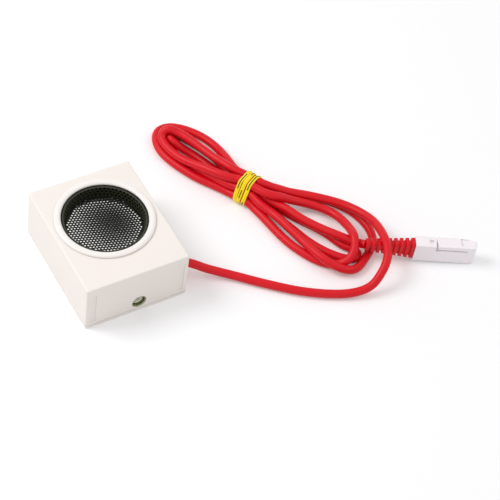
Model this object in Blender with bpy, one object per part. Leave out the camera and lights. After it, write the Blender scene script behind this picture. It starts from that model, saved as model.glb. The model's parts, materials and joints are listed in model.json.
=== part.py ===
"""Ultrasonic motion sensor: a white moulded box whose round bezel frames the perforated dish of an
electrostatic transducer, with a threaded rod insert, a circuit board inside, and a red lead tied in
a hank that ends in a flat plug. Metres, +Z up, origin at the centre of the box's underside. +Y points
away from the face with the threaded insert, and the lead leaves the +X face."""

import math

import bmesh
import bpy
from mathutils import Matrix, Vector

# Fits
GAP = 0.0003  # clearance between two pieces that touch
RUNNING_GAP = 0.0007  # clearance where pieces pass without touching

# Transducer
TRANSDUCER_RADIUS = 0.02145
COVER_SHEET = 0.0005
RIM_WIDTH = 0.0018
RIM_PROUD = 0.0001  # how far the cover's rim stands above the housing
DISH_TAPER = 0.0007
DISH_DEPTH = 0.0053
COVER_SKIRT = 0.0100
SEAT_WIDTH = 0.0009

# Perforated screen
HOLE_PITCH = 0.00220
HOLE_RADIUS = 0.00074
HOLE_BORDER = 0.00045
HOLE_SIDES = 4

# Capacitor stack behind the screen
FOIL_THICKNESS = 0.0003
PLATE_THICKNESS = 0.0011
GROOVE_DEPTH = 0.0003
GROOVE_COUNT = 4
CUP_FLOOR = 0.0008
CUP_WALL = 0.0016
SPRING_THICKNESS = 0.0003
SPRING_WIDTH = 0.0060
SPRING_RISE = 0.0005
TERMINAL_SPACING = 0.0100
TERMINAL_DROP = 0.0034
TERMINAL_WIDTH = 0.0022
TERMINAL_THICKNESS = 0.0006
LEDGE_WIDTH = 0.0028
LEDGE_THICKNESS = 0.0012

# Bezel
BEZEL_LIP = 0.0002  # how far the ring reaches over the transducer's rim
BEZEL_WIDTH = 0.00345
BEZEL_HEIGHT = 0.0015
BEZEL_CROWN = 0.0010
SPIGOT_DEPTH = 0.0013
SPIGOT_WALL = 0.0017

# Housing, whose length and width follow from the round bezel and the margins beside it
SIDE_MARGIN = 0.0023
FAR_MARGIN = 0.00455
NEAR_MARGIN = 0.01255
WALL = 0.0020
WELL_WALL = 0.0016
CORNER_RADIUS = 0.0010
EDGE_RADIUS = 0.0007
BASE_THICKNESS = 0.0018
POST_RADIUS = 0.0028
POST_EMBED = 0.0003  # how far a screw post sinks into the side walls
RIB_THICKNESS = 0.0012
RIB_HEIGHT = 0.0015

# Narrow upright panels sunk into the front wall near its ends
PANEL_WIDTH = 0.0029
PANEL_INSET = 0.0022
PANEL_DEPTH = 0.0004
PANEL_MARGIN = 0.0042
PANEL_ARCH = 0.0012  # radius of a panel's upper corners

# Threaded insert for a support rod
INSERT_X = 0.0013
INSERT_HEIGHT = 0.0067
INSERT_OUTER = 0.0035
INSERT_BORE = 0.00295
INSERT_LENGTH = 0.0085
INSERT_RECESS = 0.0003
INSERT_GROOVE = 0.0004
BOSS_WALL = 0.0010

# Circuit board, and the room between it and the transducer's ledge
BOARD_THICKNESS = 0.0016
BOARD_LIFT = 0.0039
BOARD_ROOM = 0.0087
BOARD_MARGIN = 0.0025  # from the side walls
BOARD_CORNER = 0.0010
STANDOFF_RADIUS = 0.0025
STANDOFF_INSET = 0.0035

# Screws
SCREW_RADIUS = 0.0013
SCREW_HEAD = 0.0025
BASE_SCREW_LENGTH = 0.0100
BOARD_SCREW_GRIP = 0.0022  # how far a board screw enters its standoff
BOARD_HEAD_HEIGHT = 0.0012

# Parts on the board, in rows on both sides of the transducer's wires
WIRE_ROOM = 0.0025  # from the wires to the nearest row
ROW_ROOM = 0.0020
FAR_ROOM = 0.0010  # from the middle row to the far one
CRYSTAL_SIZE = (0.0100, 0.0040, 0.0034)
CRYSTAL_CORNER = 0.0018
FILM_SIZE = (0.0072, 0.0026, 0.0055)
PART_EDGE = 0.0004  # rounding on moulded parts
CORE_SIZE = (0.0130, 0.0100, 0.0058)
CORE_WINDOW = 0.0026
RANGING_SIZE = (0.0102, 0.0062, 0.0024)
RANGING_LEGS = 8
SMALL_CHIP_SIZE = (0.0050, 0.0040, 0.0016)
SMALL_CHIP_LEGS = 4
CHIP_STANDOFF = 0.0003
LEG_THICKNESS = 0.0005
LEG_REACH = 0.0009
CAN_RADIUS = 0.0031
CAN_HEIGHT = 0.0068
CAN_GROOVE = 0.00025
HEADER_SIZE = (0.0076, 0.0040, 0.0034)
HEADER_INSET = 0.0060  # from the board's near edge
HEADER_STEP = 0.0060  # from the end of the cord's jacket

# Cord, grommet and cable tie
CORD_DIAMETER = 0.0044
CORD_WALL_DISTANCE = 0.01165  # from the middle of the cord to the front face
CORD_EXIT_HEIGHT = 0.0094
GROMMET_WALL = 0.0008
GROMMET_FLANGE = 0.0011
GROMMET_CATCH = 0.0007  # how far the inner lip reaches past the wall hole
GROMMET_LIP = 0.0011
GROMMET_NOSE = 0.0034
STUB_LENGTH = 0.0110
TIE_WALL = 0.0009
TIE_WIDTH = 0.0025
TIE_LOCK = (0.0032, 0.0038, 0.0025)
WIRE_DIAMETER = 0.0011
WIRE_COUNT = 4
WIRE_RISE = 0.0018
PAD_SPACING = 0.0024  # between the two transducer wires on the board

# Free lead, from the grommet over the boot to the hank, along the middle of the cord
LEAD_ROUTE = (
    (0.0273, -0.0216, 0.0094),
    (0.0310, -0.0220, 0.0092),
    (0.0356, -0.0244, 0.0079),
    (0.0406, -0.0273, 0.0056),
    (0.0469, -0.0310, 0.0036),
    (0.0530, -0.0354, 0.0026),
    (0.0643, -0.0455, 0.0024),
    (0.0779, -0.0566, 0.0024),
    (0.0905, -0.0643, 0.0024),
    (0.1020, -0.0690, 0.0031),
    (0.1112, -0.0702, 0.0054),
    (0.1190, -0.0676, 0.0094),
    (0.1230, -0.0638, 0.0122),
    (0.1250, -0.0604, 0.0137),
    (0.1267, -0.0540, 0.0147),
    (0.1279, -0.0484, 0.0136),
    (0.1286, -0.0426, 0.0118),
)
LEAD_POINTS = 44

# Hank: the outline that its loops fill, seen from above
HANK_OUTLINE = (
    (0.0784, 0.0062),
    (0.0678, 0.0218),
    (0.0585, 0.0400),
    (0.0550, 0.0560),
    (0.0610, 0.0683),
    (0.0735, 0.0670),
    (0.0840, 0.0530),
    (0.0862, 0.0320),
    (0.0899, 0.0134),
    (0.1075, -0.0006),
    (0.1240, -0.0115),
    (0.1318, -0.0280),
    (0.1276, -0.0396),
    (0.1162, -0.0450),
    (0.1140, -0.0568),
    (0.1065, -0.0567),
    (0.0930, -0.0390),
    (0.0865, -0.0160),
)
HANK_STEPS = 3
HANK_BOTTOM = 0.0009
HANK_HEIGHT = 0.0121

# Twist tie round the hank's waist
WAIST_CENTRE = (0.08415, 0.0098)
WAIST_WIDTH = 0.0148
WAIST_ANGLE = math.radians(-58)
TWIST_BAND = 0.0004
TWIST_WIDTH = 0.0066

# Plug and boot, on a line that dips to the plug's nose
PLUG_JOINT = (0.1410, -0.0591)
PLUG_HEADING = math.radians(-26.5)
PLUG_TILT = math.radians(2.6)
PLUG_LENGTH = 0.0315
PLUG_THICKNESS = 0.0066
PLUG_TALL = 0.0115
PLUG_CHAMFER = 0.0008
PLUG_FLOOR = 0.0002
NOSE_RADIUS = 0.0025
LATCH_THICKNESS = 0.0021
LATCH_START = 0.0105
LATCH_END = 0.0265
LATCH_GAP = 0.0008
LATCH_STEP = 0.0010
LATCH_STEP_LENGTH = 0.0075
DIMPLE_SIZE = 0.0022
CONTACT_COUNT = 6
CONTACT_PITCH = 0.00125
CONTACT_LENGTH = 0.0060
CONTACT_THICKNESS = 0.0004
CONTACT_DEPTH = 0.0014
CONTACT_DROP = 0.0005  # of the contacts' middle, below the plug's
BOOT_LENGTH = 0.0245
BOOT_NARROW_THICKNESS = 0.0056
BOOT_NARROW_TALL = 0.0064
BOOT_CHAMFER = 0.0010
BOOT_RIBS = 9
BOOT_GROOVE = 0.0009
RIB_SHARE = 0.52  # of each pitch along the boot, the rest is groove
TAIL_LENGTH = 0.0024

# Heights from the base upwards
SHELL_BOTTOM = BASE_THICKNESS + GAP
BOARD_BOTTOM = BASE_THICKNESS + BOARD_LIFT + GAP
BOARD_TOP = BOARD_BOTTOM + BOARD_THICKNESS
PART_BOTTOM = BOARD_TOP + GAP
LEDGE_BOTTOM = BOARD_TOP + BOARD_ROOM
LEDGE_TOP = LEDGE_BOTTOM + LEDGE_THICKNESS
CUP_BOTTOM = LEDGE_TOP + GAP
CUP_FLOOR_TOP = CUP_BOTTOM + CUP_FLOOR
PLATE_BOTTOM = CUP_FLOOR_TOP + GAP + SPRING_RISE + SPRING_THICKNESS + GAP
PLATE_TOP = PLATE_BOTTOM + PLATE_THICKNESS
FOIL_TOP = PLATE_TOP + GAP + FOIL_THICKNESS
SEAT_TOP = FOIL_TOP + GAP + COVER_SHEET
SCREEN_TOP = SEAT_TOP + GAP + COVER_SHEET
RIM_TOP = SCREEN_TOP + DISH_DEPTH
HOUSING_HEIGHT = RIM_TOP - RIM_PROUD
CEILING = HOUSING_HEIGHT - WALL
COUNTERBORE_FLOOR = HOUSING_HEIGHT - SPIGOT_DEPTH - GAP

# Radii from the transducer outwards and inwards
BEZEL_INNER = TRANSDUCER_RADIUS - BEZEL_LIP
BEZEL_OUTER = BEZEL_INNER + BEZEL_WIDTH
WELL_RADIUS = TRANSDUCER_RADIUS + GAP
WELL_OUTER = WELL_RADIUS + WELL_WALL
DISH_MOUTH = TRANSDUCER_RADIUS - RIM_WIDTH
DISH_FOOT = DISH_MOUTH - DISH_TAPER
SCREEN_RADIUS = DISH_FOOT - GAP
CUP_RADIUS = TRANSDUCER_RADIUS - COVER_SHEET - GAP
PLATE_RADIUS = CUP_RADIUS - CUP_WALL - GAP
CORD_RADIUS = CORD_DIAMETER / 2
GROMMET_BORE = CORD_RADIUS + GAP
GROMMET_OUTER = GROMMET_BORE + GROMMET_WALL

# Plan
HOUSING_WIDTH = 2 * (BEZEL_OUTER + SIDE_MARGIN)
HOUSING_LENGTH = 2 * BEZEL_OUTER + FAR_MARGIN + NEAR_MARGIN
EYE_OFFSET = (NEAR_MARGIN - FAR_MARGIN) / 2
POST_X = HOUSING_WIDTH / 2 - WALL - POST_RADIUS + POST_EMBED
POST_Y = HOUSING_LENGTH / 2 - WALL - POST_RADIUS + POST_EMBED
CORD_EXIT_Y = CORD_WALL_DISTANCE - HOUSING_LENGTH / 2
BOARD_FAR = POST_Y - POST_RADIUS - RUNNING_GAP
BOARD_NEAR = CORD_EXIT_Y + CORD_RADIUS + GAP + TIE_WALL + RUNNING_GAP
BOARD_WIDTH = HOUSING_WIDTH - 2 * (WALL + BOARD_MARGIN)
BOARD_LENGTH = BOARD_FAR - BOARD_NEAR
BOARD_MIDDLE = (BOARD_FAR + BOARD_NEAR) / 2
STANDOFF_X = BOARD_WIDTH / 2 - STANDOFF_INSET
STANDOFF_Y = BOARD_LENGTH / 2 - STANDOFF_INSET
ROUND_STEPS = 48
SMALL_STEPS = 16


def clear_scene():
    for obj in list(bpy.data.objects):
        bpy.data.objects.remove(obj, do_unlink=True)


def finish(name, color, roughness, metallic=0.0):
    """A Principled material from a linear colour."""
    material = bpy.data.materials.new(name)
    material.use_nodes = True
    shader = material.node_tree.nodes["Principled BSDF"]
    shader.inputs["Base Color"].default_value = (*color, 1.0)
    shader.inputs["Roughness"].default_value = roughness
    shader.inputs["Metallic"].default_value = metallic
    return material


def add(name, bm, material, smooth_angle=math.radians(32)):
    """Makes the bmesh an object of its own, with its faces out."""
    bmesh.ops.recalc_face_normals(bm, faces=bm.faces)
    mesh = bpy.data.meshes.new(name)
    bm.to_mesh(mesh)
    bm.free()
    if material:
        mesh.materials.append(material)
        mesh.shade_smooth()
        mesh.set_sharp_from_angle(angle=smooth_angle)
    obj = bpy.data.objects.new(name, mesh)
    bpy.context.scene.collection.objects.link(obj)
    return obj


def combine(target, tool_name, bm, operation):
    """Adds or cuts the bmesh, which stays in the file as a hidden wire helper."""
    tool = add(tool_name, bm, None)
    tool.hide_render = True
    tool.display_type = "WIRE"
    modifier = target.modifiers.new(tool_name, "BOOLEAN")
    modifier.operation = operation
    modifier.solver = "EXACT"
    modifier.object = tool


def block(bm, size, centre):
    """A box in the bmesh, by its three sizes and its centre. Returns its vertices."""
    place = Matrix.Translation(centre) @ Matrix.Diagonal((*size, 1.0))
    return bmesh.ops.create_cube(bm, size=1.0, matrix=place)["verts"]


def cylinder(bm, radius, start, end, steps=SMALL_STEPS, radius_end=None):
    """A cylinder or a cone from start to end. Returns its vertices."""
    start, end = Vector(start), Vector(end)
    axis = end - start
    place = Matrix.Translation((start + end) / 2) @ axis.to_track_quat("Z", "Y").to_matrix().to_4x4()
    far = radius if radius_end is None else radius_end
    made = bmesh.ops.create_cone(
        bm, cap_ends=True, segments=steps, radius1=radius, radius2=far, depth=axis.length, matrix=place
    )
    return made["verts"]


def bevel_edges(bm, edges, width, segments):
    bmesh.ops.bevel(
        bm, geom=list(edges), offset=width, offset_type="OFFSET", segments=segments,
        profile=0.5, affect="EDGES", material=-1,
    )


def upright(edge):
    a, b = (vert.co for vert in edge.verts)
    return abs(a.z - b.z) > 1e-6 and (a.xy - b.xy).length < 1e-6


def rounded_block(size, centre, corner, rim, rim_z=None, corner_steps=4, rim_steps=2):
    """A box with rounded upright edges, and a rounded rim at the height rim_z."""
    bm = bmesh.new()
    block(bm, size, centre)
    bevel_edges(bm, [edge for edge in bm.edges if upright(edge)], corner, corner_steps)
    if rim_z is not None:
        rims = [edge for edge in bm.edges if all(abs(v.co.z - rim_z) < 1e-6 for v in edge.verts)]
        bevel_edges(bm, rims, rim, rim_steps)
    return bm


def turned(profile, closed=True, steps=ROUND_STEPS, bm=None):
    """Spins a profile of (radius, height) points about Z. An open one starts and ends on the axis."""
    bm = bm or bmesh.new()
    verts = [bm.verts.new((radius, 0.0, height)) for radius, height in profile]
    pairs = list(zip(verts, verts[1:]))
    if closed:
        pairs.append((verts[-1], verts[0]))
    edges = [bm.edges.new(pair) for pair in pairs]
    bmesh.ops.spin(
        bm, geom=verts + edges, cent=(0, 0, 0), axis=(0, 0, 1), angle=math.tau, steps=steps,
        use_merge=True, use_duplicate=False,
    )
    bmesh.ops.remove_doubles(bm, verts=bm.verts, dist=1e-7)
    return bm


def moved(bm, matrix):
    bmesh.ops.transform(bm, matrix=matrix, verts=bm.verts)
    return bm


def at_eye(bm):
    return moved(bm, Matrix.Translation((0, EYE_OFFSET, 0)))


def prism(outline, direction):
    """Extrudes a closed outline of 3-D points along direction."""
    bm = bmesh.new()
    face = bm.faces.new([bm.verts.new(point) for point in outline])
    top = bmesh.ops.extrude_face_region(bm, geom=[face])["geom"]
    raised = [item for item in top if isinstance(item, bmesh.types.BMVert)]
    bmesh.ops.translate(bm, vec=direction, verts=raised)
    return bm


def spline_point(a, b, c, d, t):
    """The Catmull-Rom point between b and c, a share t of the way."""
    return 0.5 * ((2 * b) + (c - a) * t + (2 * a - 5 * b + 4 * c - d) * t**2 + (3 * b - a - 3 * c + d) * t**3)


def smooth_loop(points, steps):
    """A closed smooth curve through the points, with steps points for each stretch."""
    points = [Vector(point) for point in points]
    count = len(points)
    curve = []
    for i in range(count):
        near = [points[(i + k - 1) % count] for k in range(4)]
        curve += [spline_point(*near, step / steps) for step in range(steps)]
    return curve


def smooth_route(points, count):
    """Evenly spaced points along an open smooth curve through the route's points."""
    points = [Vector(point) for point in points]
    ends = [2 * points[0] - points[1], *points, 2 * points[-1] - points[-2]]
    fine = [
        spline_point(*ends[i : i + 4], step / 20)
        for i in range(len(points) - 1)
        for step in range(20)
    ]
    fine.append(points[-1])
    reach = [0.0]
    for a, b in zip(fine, fine[1:]):
        reach.append(reach[-1] + (b - a).length)
    even, k = [], 0
    for i in range(count):
        target = reach[-1] * i / (count - 1)
        while k < len(fine) - 2 and reach[k + 1] < target:
            k += 1
        share = (target - reach[k]) / (reach[k + 1] - reach[k])
        even.append(fine[k].lerp(fine[k + 1], min(share, 1.0)))
    return even


def tube(name, points, diameter, material, resolution=2):
    """A filled tube along a line of points."""
    curve = bpy.data.curves.new(name, "CURVE")
    curve.dimensions = "3D"
    curve.bevel_depth = diameter / 2
    curve.bevel_resolution = resolution
    curve.use_fill_caps = True
    spline = curve.splines.new("POLY")
    spline.points.add(len(points) - 1)
    for spot, point in zip(spline.points, points):
        spot.co = (*point, 1.0)
    curve.materials.append(material)
    obj = bpy.data.objects.new(name, curve)
    bpy.context.scene.collection.objects.link(obj)
    return obj


def corners(x, y):
    return [(sx * x, sy * y) for sy in (-1, 1) for sx in (-1, 1)]


def board_corners():
    return [(x, y + BOARD_MIDDLE) for x, y in corners(STANDOFF_X, STANDOFF_Y)]


def make_top_housing(material):
    """The five-sided shell, with its transducer well, screw posts and rod boss moulded in."""
    height = HOUSING_HEIGHT - SHELL_BOTTOM
    shell = add(
        "top_housing",
        rounded_block(
            (HOUSING_WIDTH, HOUSING_LENGTH, height), (0, 0, SHELL_BOTTOM + height / 2),
            CORNER_RADIUS, EDGE_RADIUS, rim_z=HOUSING_HEIGHT,
        ),
        material,
    )
    deep = CEILING - SHELL_BOTTOM + WALL
    cavity = rounded_block(
        (HOUSING_WIDTH - 2 * WALL, HOUSING_LENGTH - 2 * WALL, deep), (0, 0, CEILING - deep / 2),
        CORNER_RADIUS / 2, 0, corner_steps=1,
    )
    combine(shell, "cavity_cutter", cavity, "DIFFERENCE")

    embed = WALL / 2
    well = at_eye(turned([
        (WELL_RADIUS - embed, LEDGE_BOTTOM), (WELL_OUTER, LEDGE_BOTTOM),
        (WELL_OUTER, CEILING + embed), (WELL_RADIUS - embed, CEILING + embed),
    ]))
    combine(shell, "transducer_well", well, "UNION")

    solids = bmesh.new()
    for x, y in corners(POST_X, POST_Y):
        cylinder(solids, POST_RADIUS, (x, y, SHELL_BOTTOM), (x, y, CEILING + embed))
    inner_front = -HOUSING_LENGTH / 2 + WALL
    boss_end = inner_front + INSERT_LENGTH + INSERT_RECESS - WALL + BOSS_WALL
    boss_radius = INSERT_OUTER + GAP + BOSS_WALL
    arch = [(boss_radius * math.cos(a), INSERT_HEIGHT + boss_radius * math.sin(a))
            for a in (math.pi * i / 12 for i in range(13))]
    outline = [(boss_radius, SHELL_BOTTOM), *arch, (-boss_radius, SHELL_BOTTOM)]
    boss = prism(
        [(INSERT_X + x, inner_front - embed, z) for x, z in outline],
        (0, boss_end - inner_front + embed, 0),
    )
    combine(shell, "rod_boss", boss, "UNION")
    combine(shell, "screw_posts", solids, "UNION")

    bore = at_eye(turned([
        (0, LEDGE_BOTTOM - WALL), (WELL_RADIUS - LEDGE_WIDTH, LEDGE_BOTTOM - WALL),
        (WELL_RADIUS - LEDGE_WIDTH, LEDGE_TOP), (WELL_RADIUS, LEDGE_TOP),
        (WELL_RADIUS, COUNTERBORE_FLOOR), (WELL_RADIUS + SPIGOT_WALL + 2 * GAP, COUNTERBORE_FLOOR),
        (WELL_RADIUS + SPIGOT_WALL + 2 * GAP, HOUSING_HEIGHT + WALL), (0, HOUSING_HEIGHT + WALL),
    ], closed=False))
    combine(shell, "eye_cutter", bore, "DIFFERENCE")

    holes = bmesh.new()
    front = -HOUSING_LENGTH / 2
    cylinder(holes, INSERT_OUTER + GAP, (INSERT_X, front - WALL, INSERT_HEIGHT),
             (INSERT_X, front + INSERT_RECESS + INSERT_LENGTH + GAP, INSERT_HEIGHT), steps=24)
    side = HOUSING_WIDTH / 2
    cylinder(holes, GROMMET_OUTER + GAP, (side - 2 * WALL, CORD_EXIT_Y, CORD_EXIT_HEIGHT),
             (side + WALL, CORD_EXIT_Y, CORD_EXIT_HEIGHT), steps=24)
    pilot = SHELL_BOTTOM + BASE_SCREW_LENGTH
    for x, y in corners(POST_X, POST_Y):
        cylinder(holes, SCREW_RADIUS + GAP, (x, y, 0), (x, y, pilot), steps=12)
    combine(shell, "hole_cutters", holes, "DIFFERENCE")

    panels = bmesh.new()
    low, high = SHELL_BOTTOM + PANEL_MARGIN / 2, HOUSING_HEIGHT - PANEL_MARGIN
    middle = HOUSING_WIDTH / 2 - PANEL_INSET - PANEL_WIDTH / 2
    for side_sign in (-1, 1):
        centre = (side_sign * middle, front, (low + high) / 2)
        verts = block(panels, (PANEL_WIDTH, 2 * PANEL_DEPTH, high - low), centre)
        tops = {e for v in verts for e in v.link_edges
                if all(abs(p.co.z - high) < 1e-6 for p in e.verts)
                and abs(e.verts[0].co.x - e.verts[1].co.x) < 1e-6}
        bevel_edges(panels, tops, PANEL_ARCH, 4)
    combine(shell, "panel_cutters", panels, "DIFFERENCE")


def make_base_plate(material):
    """The flat bottom cover, with locating ribs, board standoffs and countersunk holes."""
    plate = add(
        "base_plate",
        rounded_block(
            (HOUSING_WIDTH, HOUSING_LENGTH, BASE_THICKNESS), (0, 0, BASE_THICKNESS / 2),
            CORNER_RADIUS, EDGE_RADIUS / 2, rim_z=0.0, rim_steps=1,
        ),
        material,
    )
    raised = bmesh.new()
    sink = BASE_THICKNESS / 3
    rib_x = HOUSING_WIDTH / 2 - WALL - GAP - RIB_THICKNESS / 2
    rib_y = HOUSING_LENGTH / 2 - WALL - GAP - RIB_THICKNESS / 2
    rib_z = BASE_THICKNESS + (RIB_HEIGHT - sink) / 2
    clear = POST_RADIUS + 2 * GAP
    for sign in (-1, 1):
        block(raised, (RIB_THICKNESS, 2 * (POST_Y - clear), RIB_HEIGHT + sink), (sign * rib_x, 0, rib_z))
    block(raised, (2 * (POST_X - clear), RIB_THICKNESS, RIB_HEIGHT + sink), (0, rib_y, rib_z))
    for x, y in board_corners():
        cylinder(raised, STANDOFF_RADIUS, (x, y, BASE_THICKNESS - sink), (x, y, BASE_THICKNESS + BOARD_LIFT))
    combine(plate, "base_ribs", raised, "UNION")

    holes = bmesh.new()
    for x, y in corners(POST_X, POST_Y):
        cylinder(holes, SCREW_RADIUS + GAP, (x, y, -BASE_THICKNESS), (x, y, 2 * BASE_THICKNESS), steps=16)
    for x, y in board_corners():
        cylinder(holes, SCREW_RADIUS + GAP, (x, y, BASE_THICKNESS),
                 (x, y, BASE_THICKNESS + 2 * BOARD_LIFT), steps=12)
    combine(plate, "base_holes", holes, "DIFFERENCE")
    sinks = bmesh.new()
    for x, y in corners(POST_X, POST_Y):
        spread = (SCREW_HEAD - SCREW_RADIUS) / 2
        cylinder(sinks, SCREW_HEAD + GAP + spread, (x, y, -spread),
                 (x, y, SCREW_HEAD - SCREW_RADIUS), steps=16, radius_end=SCREW_RADIUS + GAP - spread / 2)
    combine(plate, "countersinks", sinks, "DIFFERENCE")


def make_bezel(material):
    """The ring round the eye: a crowned flange on the top face and a spigot in the counterbore."""
    flange = HOUSING_HEIGHT + GAP
    top = HOUSING_HEIGHT + BEZEL_HEIGHT
    shoulder = top - BEZEL_CROWN
    inner, outer = WELL_RADIUS, WELL_RADIUS + SPIGOT_WALL
    middle = (BEZEL_INNER + BEZEL_OUTER) / 2
    half = (BEZEL_OUTER - BEZEL_INNER) / 2
    crown = [(middle + half * math.cos(a), shoulder + BEZEL_CROWN * math.sin(a))
             for a in (math.pi * i / 7 for i in range(8))]
    profile = [
        (BEZEL_OUTER, flange), *crown, (BEZEL_INNER, flange + GAP), (inner, flange + GAP),
        (inner, HOUSING_HEIGHT - SPIGOT_DEPTH), (outer, HOUSING_HEIGHT - SPIGOT_DEPTH), (outer, flange),
    ]
    add("bezel_ring", at_eye(turned(profile)), material)


def make_transducer(black, screen_black, foil, metal, plastic, brass):
    """The formed cover and perforated screen, and the capacitor stack in its cup behind them."""
    sheet = COVER_SHEET
    skirt_bottom = RIM_TOP - COVER_SKIRT
    wall = [
        (TRANSDUCER_RADIUS, skirt_bottom), (TRANSDUCER_RADIUS, RIM_TOP - sheet / 2),
        (TRANSDUCER_RADIUS - sheet / 2, RIM_TOP), (DISH_MOUTH + sheet / 2, RIM_TOP),
        (DISH_MOUTH, RIM_TOP - sheet / 2), (DISH_FOOT, SEAT_TOP),
        (DISH_FOOT - SEAT_WIDTH, SEAT_TOP), (DISH_FOOT - SEAT_WIDTH, SEAT_TOP - sheet),
        (DISH_FOOT + sheet, SEAT_TOP - sheet), (DISH_MOUTH + sheet, RIM_TOP - sheet),
        (TRANSDUCER_RADIUS - sheet, RIM_TOP - sheet), (TRANSDUCER_RADIUS - sheet, skirt_bottom),
    ]
    add("transducer_cover", at_eye(turned(wall)), black)

    disc = turned([(0, SCREEN_TOP - sheet), (SCREEN_RADIUS, SCREEN_TOP - sheet),
                   (SCREEN_RADIUS, SCREEN_TOP), (0, SCREEN_TOP)], closed=False)
    screen = add("transducer_screen", at_eye(disc), screen_black)
    punches = bmesh.new()
    field = SCREEN_RADIUS - HOLE_BORDER - HOLE_RADIUS
    row_pitch = HOLE_PITCH * math.sqrt(3) / 2
    rows = int(field / row_pitch)
    for row in range(-rows, rows + 1):
        shift = HOLE_PITCH / 2 if row % 2 else 0.0
        across = int(field / HOLE_PITCH) + 1
        for column in range(-across, across + 1):
            x, y = column * HOLE_PITCH + shift, row * row_pitch
            if math.hypot(x, y) <= field:
                cylinder(punches, HOLE_RADIUS, (x, y + EYE_OFFSET, SCREEN_TOP - 2 * sheet),
                         (x, y + EYE_OFFSET, SCREEN_TOP + sheet), steps=HOLE_SIDES)
    combine(screen, "screen_punches", punches, "DIFFERENCE")

    add("foil_diaphragm", at_eye(turned([
        (0, FOIL_TOP - FOIL_THICKNESS), (CUP_RADIUS, FOIL_TOP - FOIL_THICKNESS),
        (CUP_RADIUS, FOIL_TOP), (0, FOIL_TOP),
    ], closed=False)), foil)

    pitch = PLATE_RADIUS / (GROOVE_COUNT + 1)
    plate = [(0, PLATE_TOP)]
    for i in range(1, GROOVE_COUNT + 1):
        near, far = i * pitch - pitch / 6, i * pitch + pitch / 6
        plate += [(near, PLATE_TOP), (near, PLATE_TOP - GROOVE_DEPTH),
                  (far, PLATE_TOP - GROOVE_DEPTH), (far, PLATE_TOP)]
    plate += [(PLATE_RADIUS, PLATE_TOP), (PLATE_RADIUS, PLATE_BOTTOM), (0, PLATE_BOTTOM)]
    add("grooved_backplate", at_eye(turned(plate, closed=False, steps=24)), metal)

    cup_top = FOIL_TOP - FOIL_THICKNESS - GAP
    cup = add("transducer_cup", at_eye(turned([
        (0, CUP_BOTTOM), (CUP_RADIUS, CUP_BOTTOM), (CUP_RADIUS, cup_top),
        (CUP_RADIUS - CUP_WALL, cup_top), (CUP_RADIUS - CUP_WALL, CUP_FLOOR_TOP), (0, CUP_FLOOR_TOP),
    ], closed=False)), plastic)
    slots = bmesh.new()
    for sign in (-1, 1):
        block(slots, (TERMINAL_WIDTH + 2 * GAP, TERMINAL_THICKNESS + 2 * GAP, 4 * CUP_FLOOR),
              (sign * TERMINAL_SPACING / 2, EYE_OFFSET, CUP_BOTTOM))
    combine(cup, "terminal_slots", slots, "DIFFERENCE")

    reach = PLATE_RADIUS - 2 * GAP
    arc = [(-reach + 2 * reach * i / 8, 1 - (i / 4 - 1) ** 2) for i in range(9)]
    low = CUP_FLOOR_TOP + GAP
    under = [(x, low + SPRING_RISE * rise) for x, rise in arc]
    outline = under + [(x, z + SPRING_THICKNESS) for x, z in reversed(under)]
    start = EYE_OFFSET - SPRING_WIDTH / 2
    spring = prism([(x, start, z) for x, z in outline], (0, SPRING_WIDTH, 0))
    add("leaf_spring", spring, metal)

    for i, sign in enumerate((-1, 1), 1):
        bm = bmesh.new()
        top = CUP_FLOOR_TOP
        block(bm, (TERMINAL_WIDTH, TERMINAL_THICKNESS, TERMINAL_DROP + CUP_FLOOR),
              (sign * TERMINAL_SPACING / 2, EYE_OFFSET, top - (TERMINAL_DROP + CUP_FLOOR) / 2))
        add(f"transducer_terminal_{i}", bm, brass)


def make_insert(brass):
    """The threaded rod insert, a ribbed bush set into the boss from the front."""
    groove = INSERT_GROOVE
    length, outer = INSERT_LENGTH, INSERT_OUTER
    profile = [
        (INSERT_BORE, 0), (INSERT_BORE + groove / 2, -groove / 2), (outer, -groove / 2),
        (outer, -length * 0.40), (outer - groove, -length * 0.44), (outer - groove, -length * 0.56),
        (outer, -length * 0.60), (outer, -length), (INSERT_BORE, -length),
    ]
    bm = turned(profile, steps=24)
    front = -HOUSING_LENGTH / 2 + INSERT_RECESS
    moved(bm, Matrix.Translation((INSERT_X, front, INSERT_HEIGHT)) @ Matrix.Rotation(math.pi / 2, 4, "X"))
    add("threaded_insert", bm, brass)


def make_screws(steel):
    """Four countersunk screws from below, and four pan heads that hold the board."""
    slope = SCREW_HEAD - SCREW_RADIUS
    for i, (x, y) in enumerate(corners(POST_X, POST_Y), 1):
        low = GAP / 2
        bm = turned([
            (0, low), (SCREW_HEAD - low, low), (SCREW_RADIUS, slope),
            (SCREW_RADIUS, BASE_SCREW_LENGTH - SCREW_RADIUS), (0, BASE_SCREW_LENGTH),
        ], closed=False, steps=12)
        add(f"base_screw_{i}", moved(bm, Matrix.Translation((x, y, 0))), steel)
    head = BOARD_TOP + GAP
    tip = BASE_THICKNESS + BOARD_LIFT - BOARD_SCREW_GRIP
    for i, (x, y) in enumerate(board_corners(), 1):
        bm = turned([
            (0, tip), (SCREW_RADIUS, tip), (SCREW_RADIUS, head), (SCREW_HEAD - GAP, head),
            (SCREW_HEAD - GAP, head + BOARD_HEAD_HEIGHT * 0.5),
            (SCREW_HEAD * 0.55, head + BOARD_HEAD_HEIGHT), (0, head + BOARD_HEAD_HEIGHT),
        ], closed=False, steps=12)
        add(f"board_screw_{i}", moved(bm, Matrix.Translation((x, y, 0))), steel)


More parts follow.
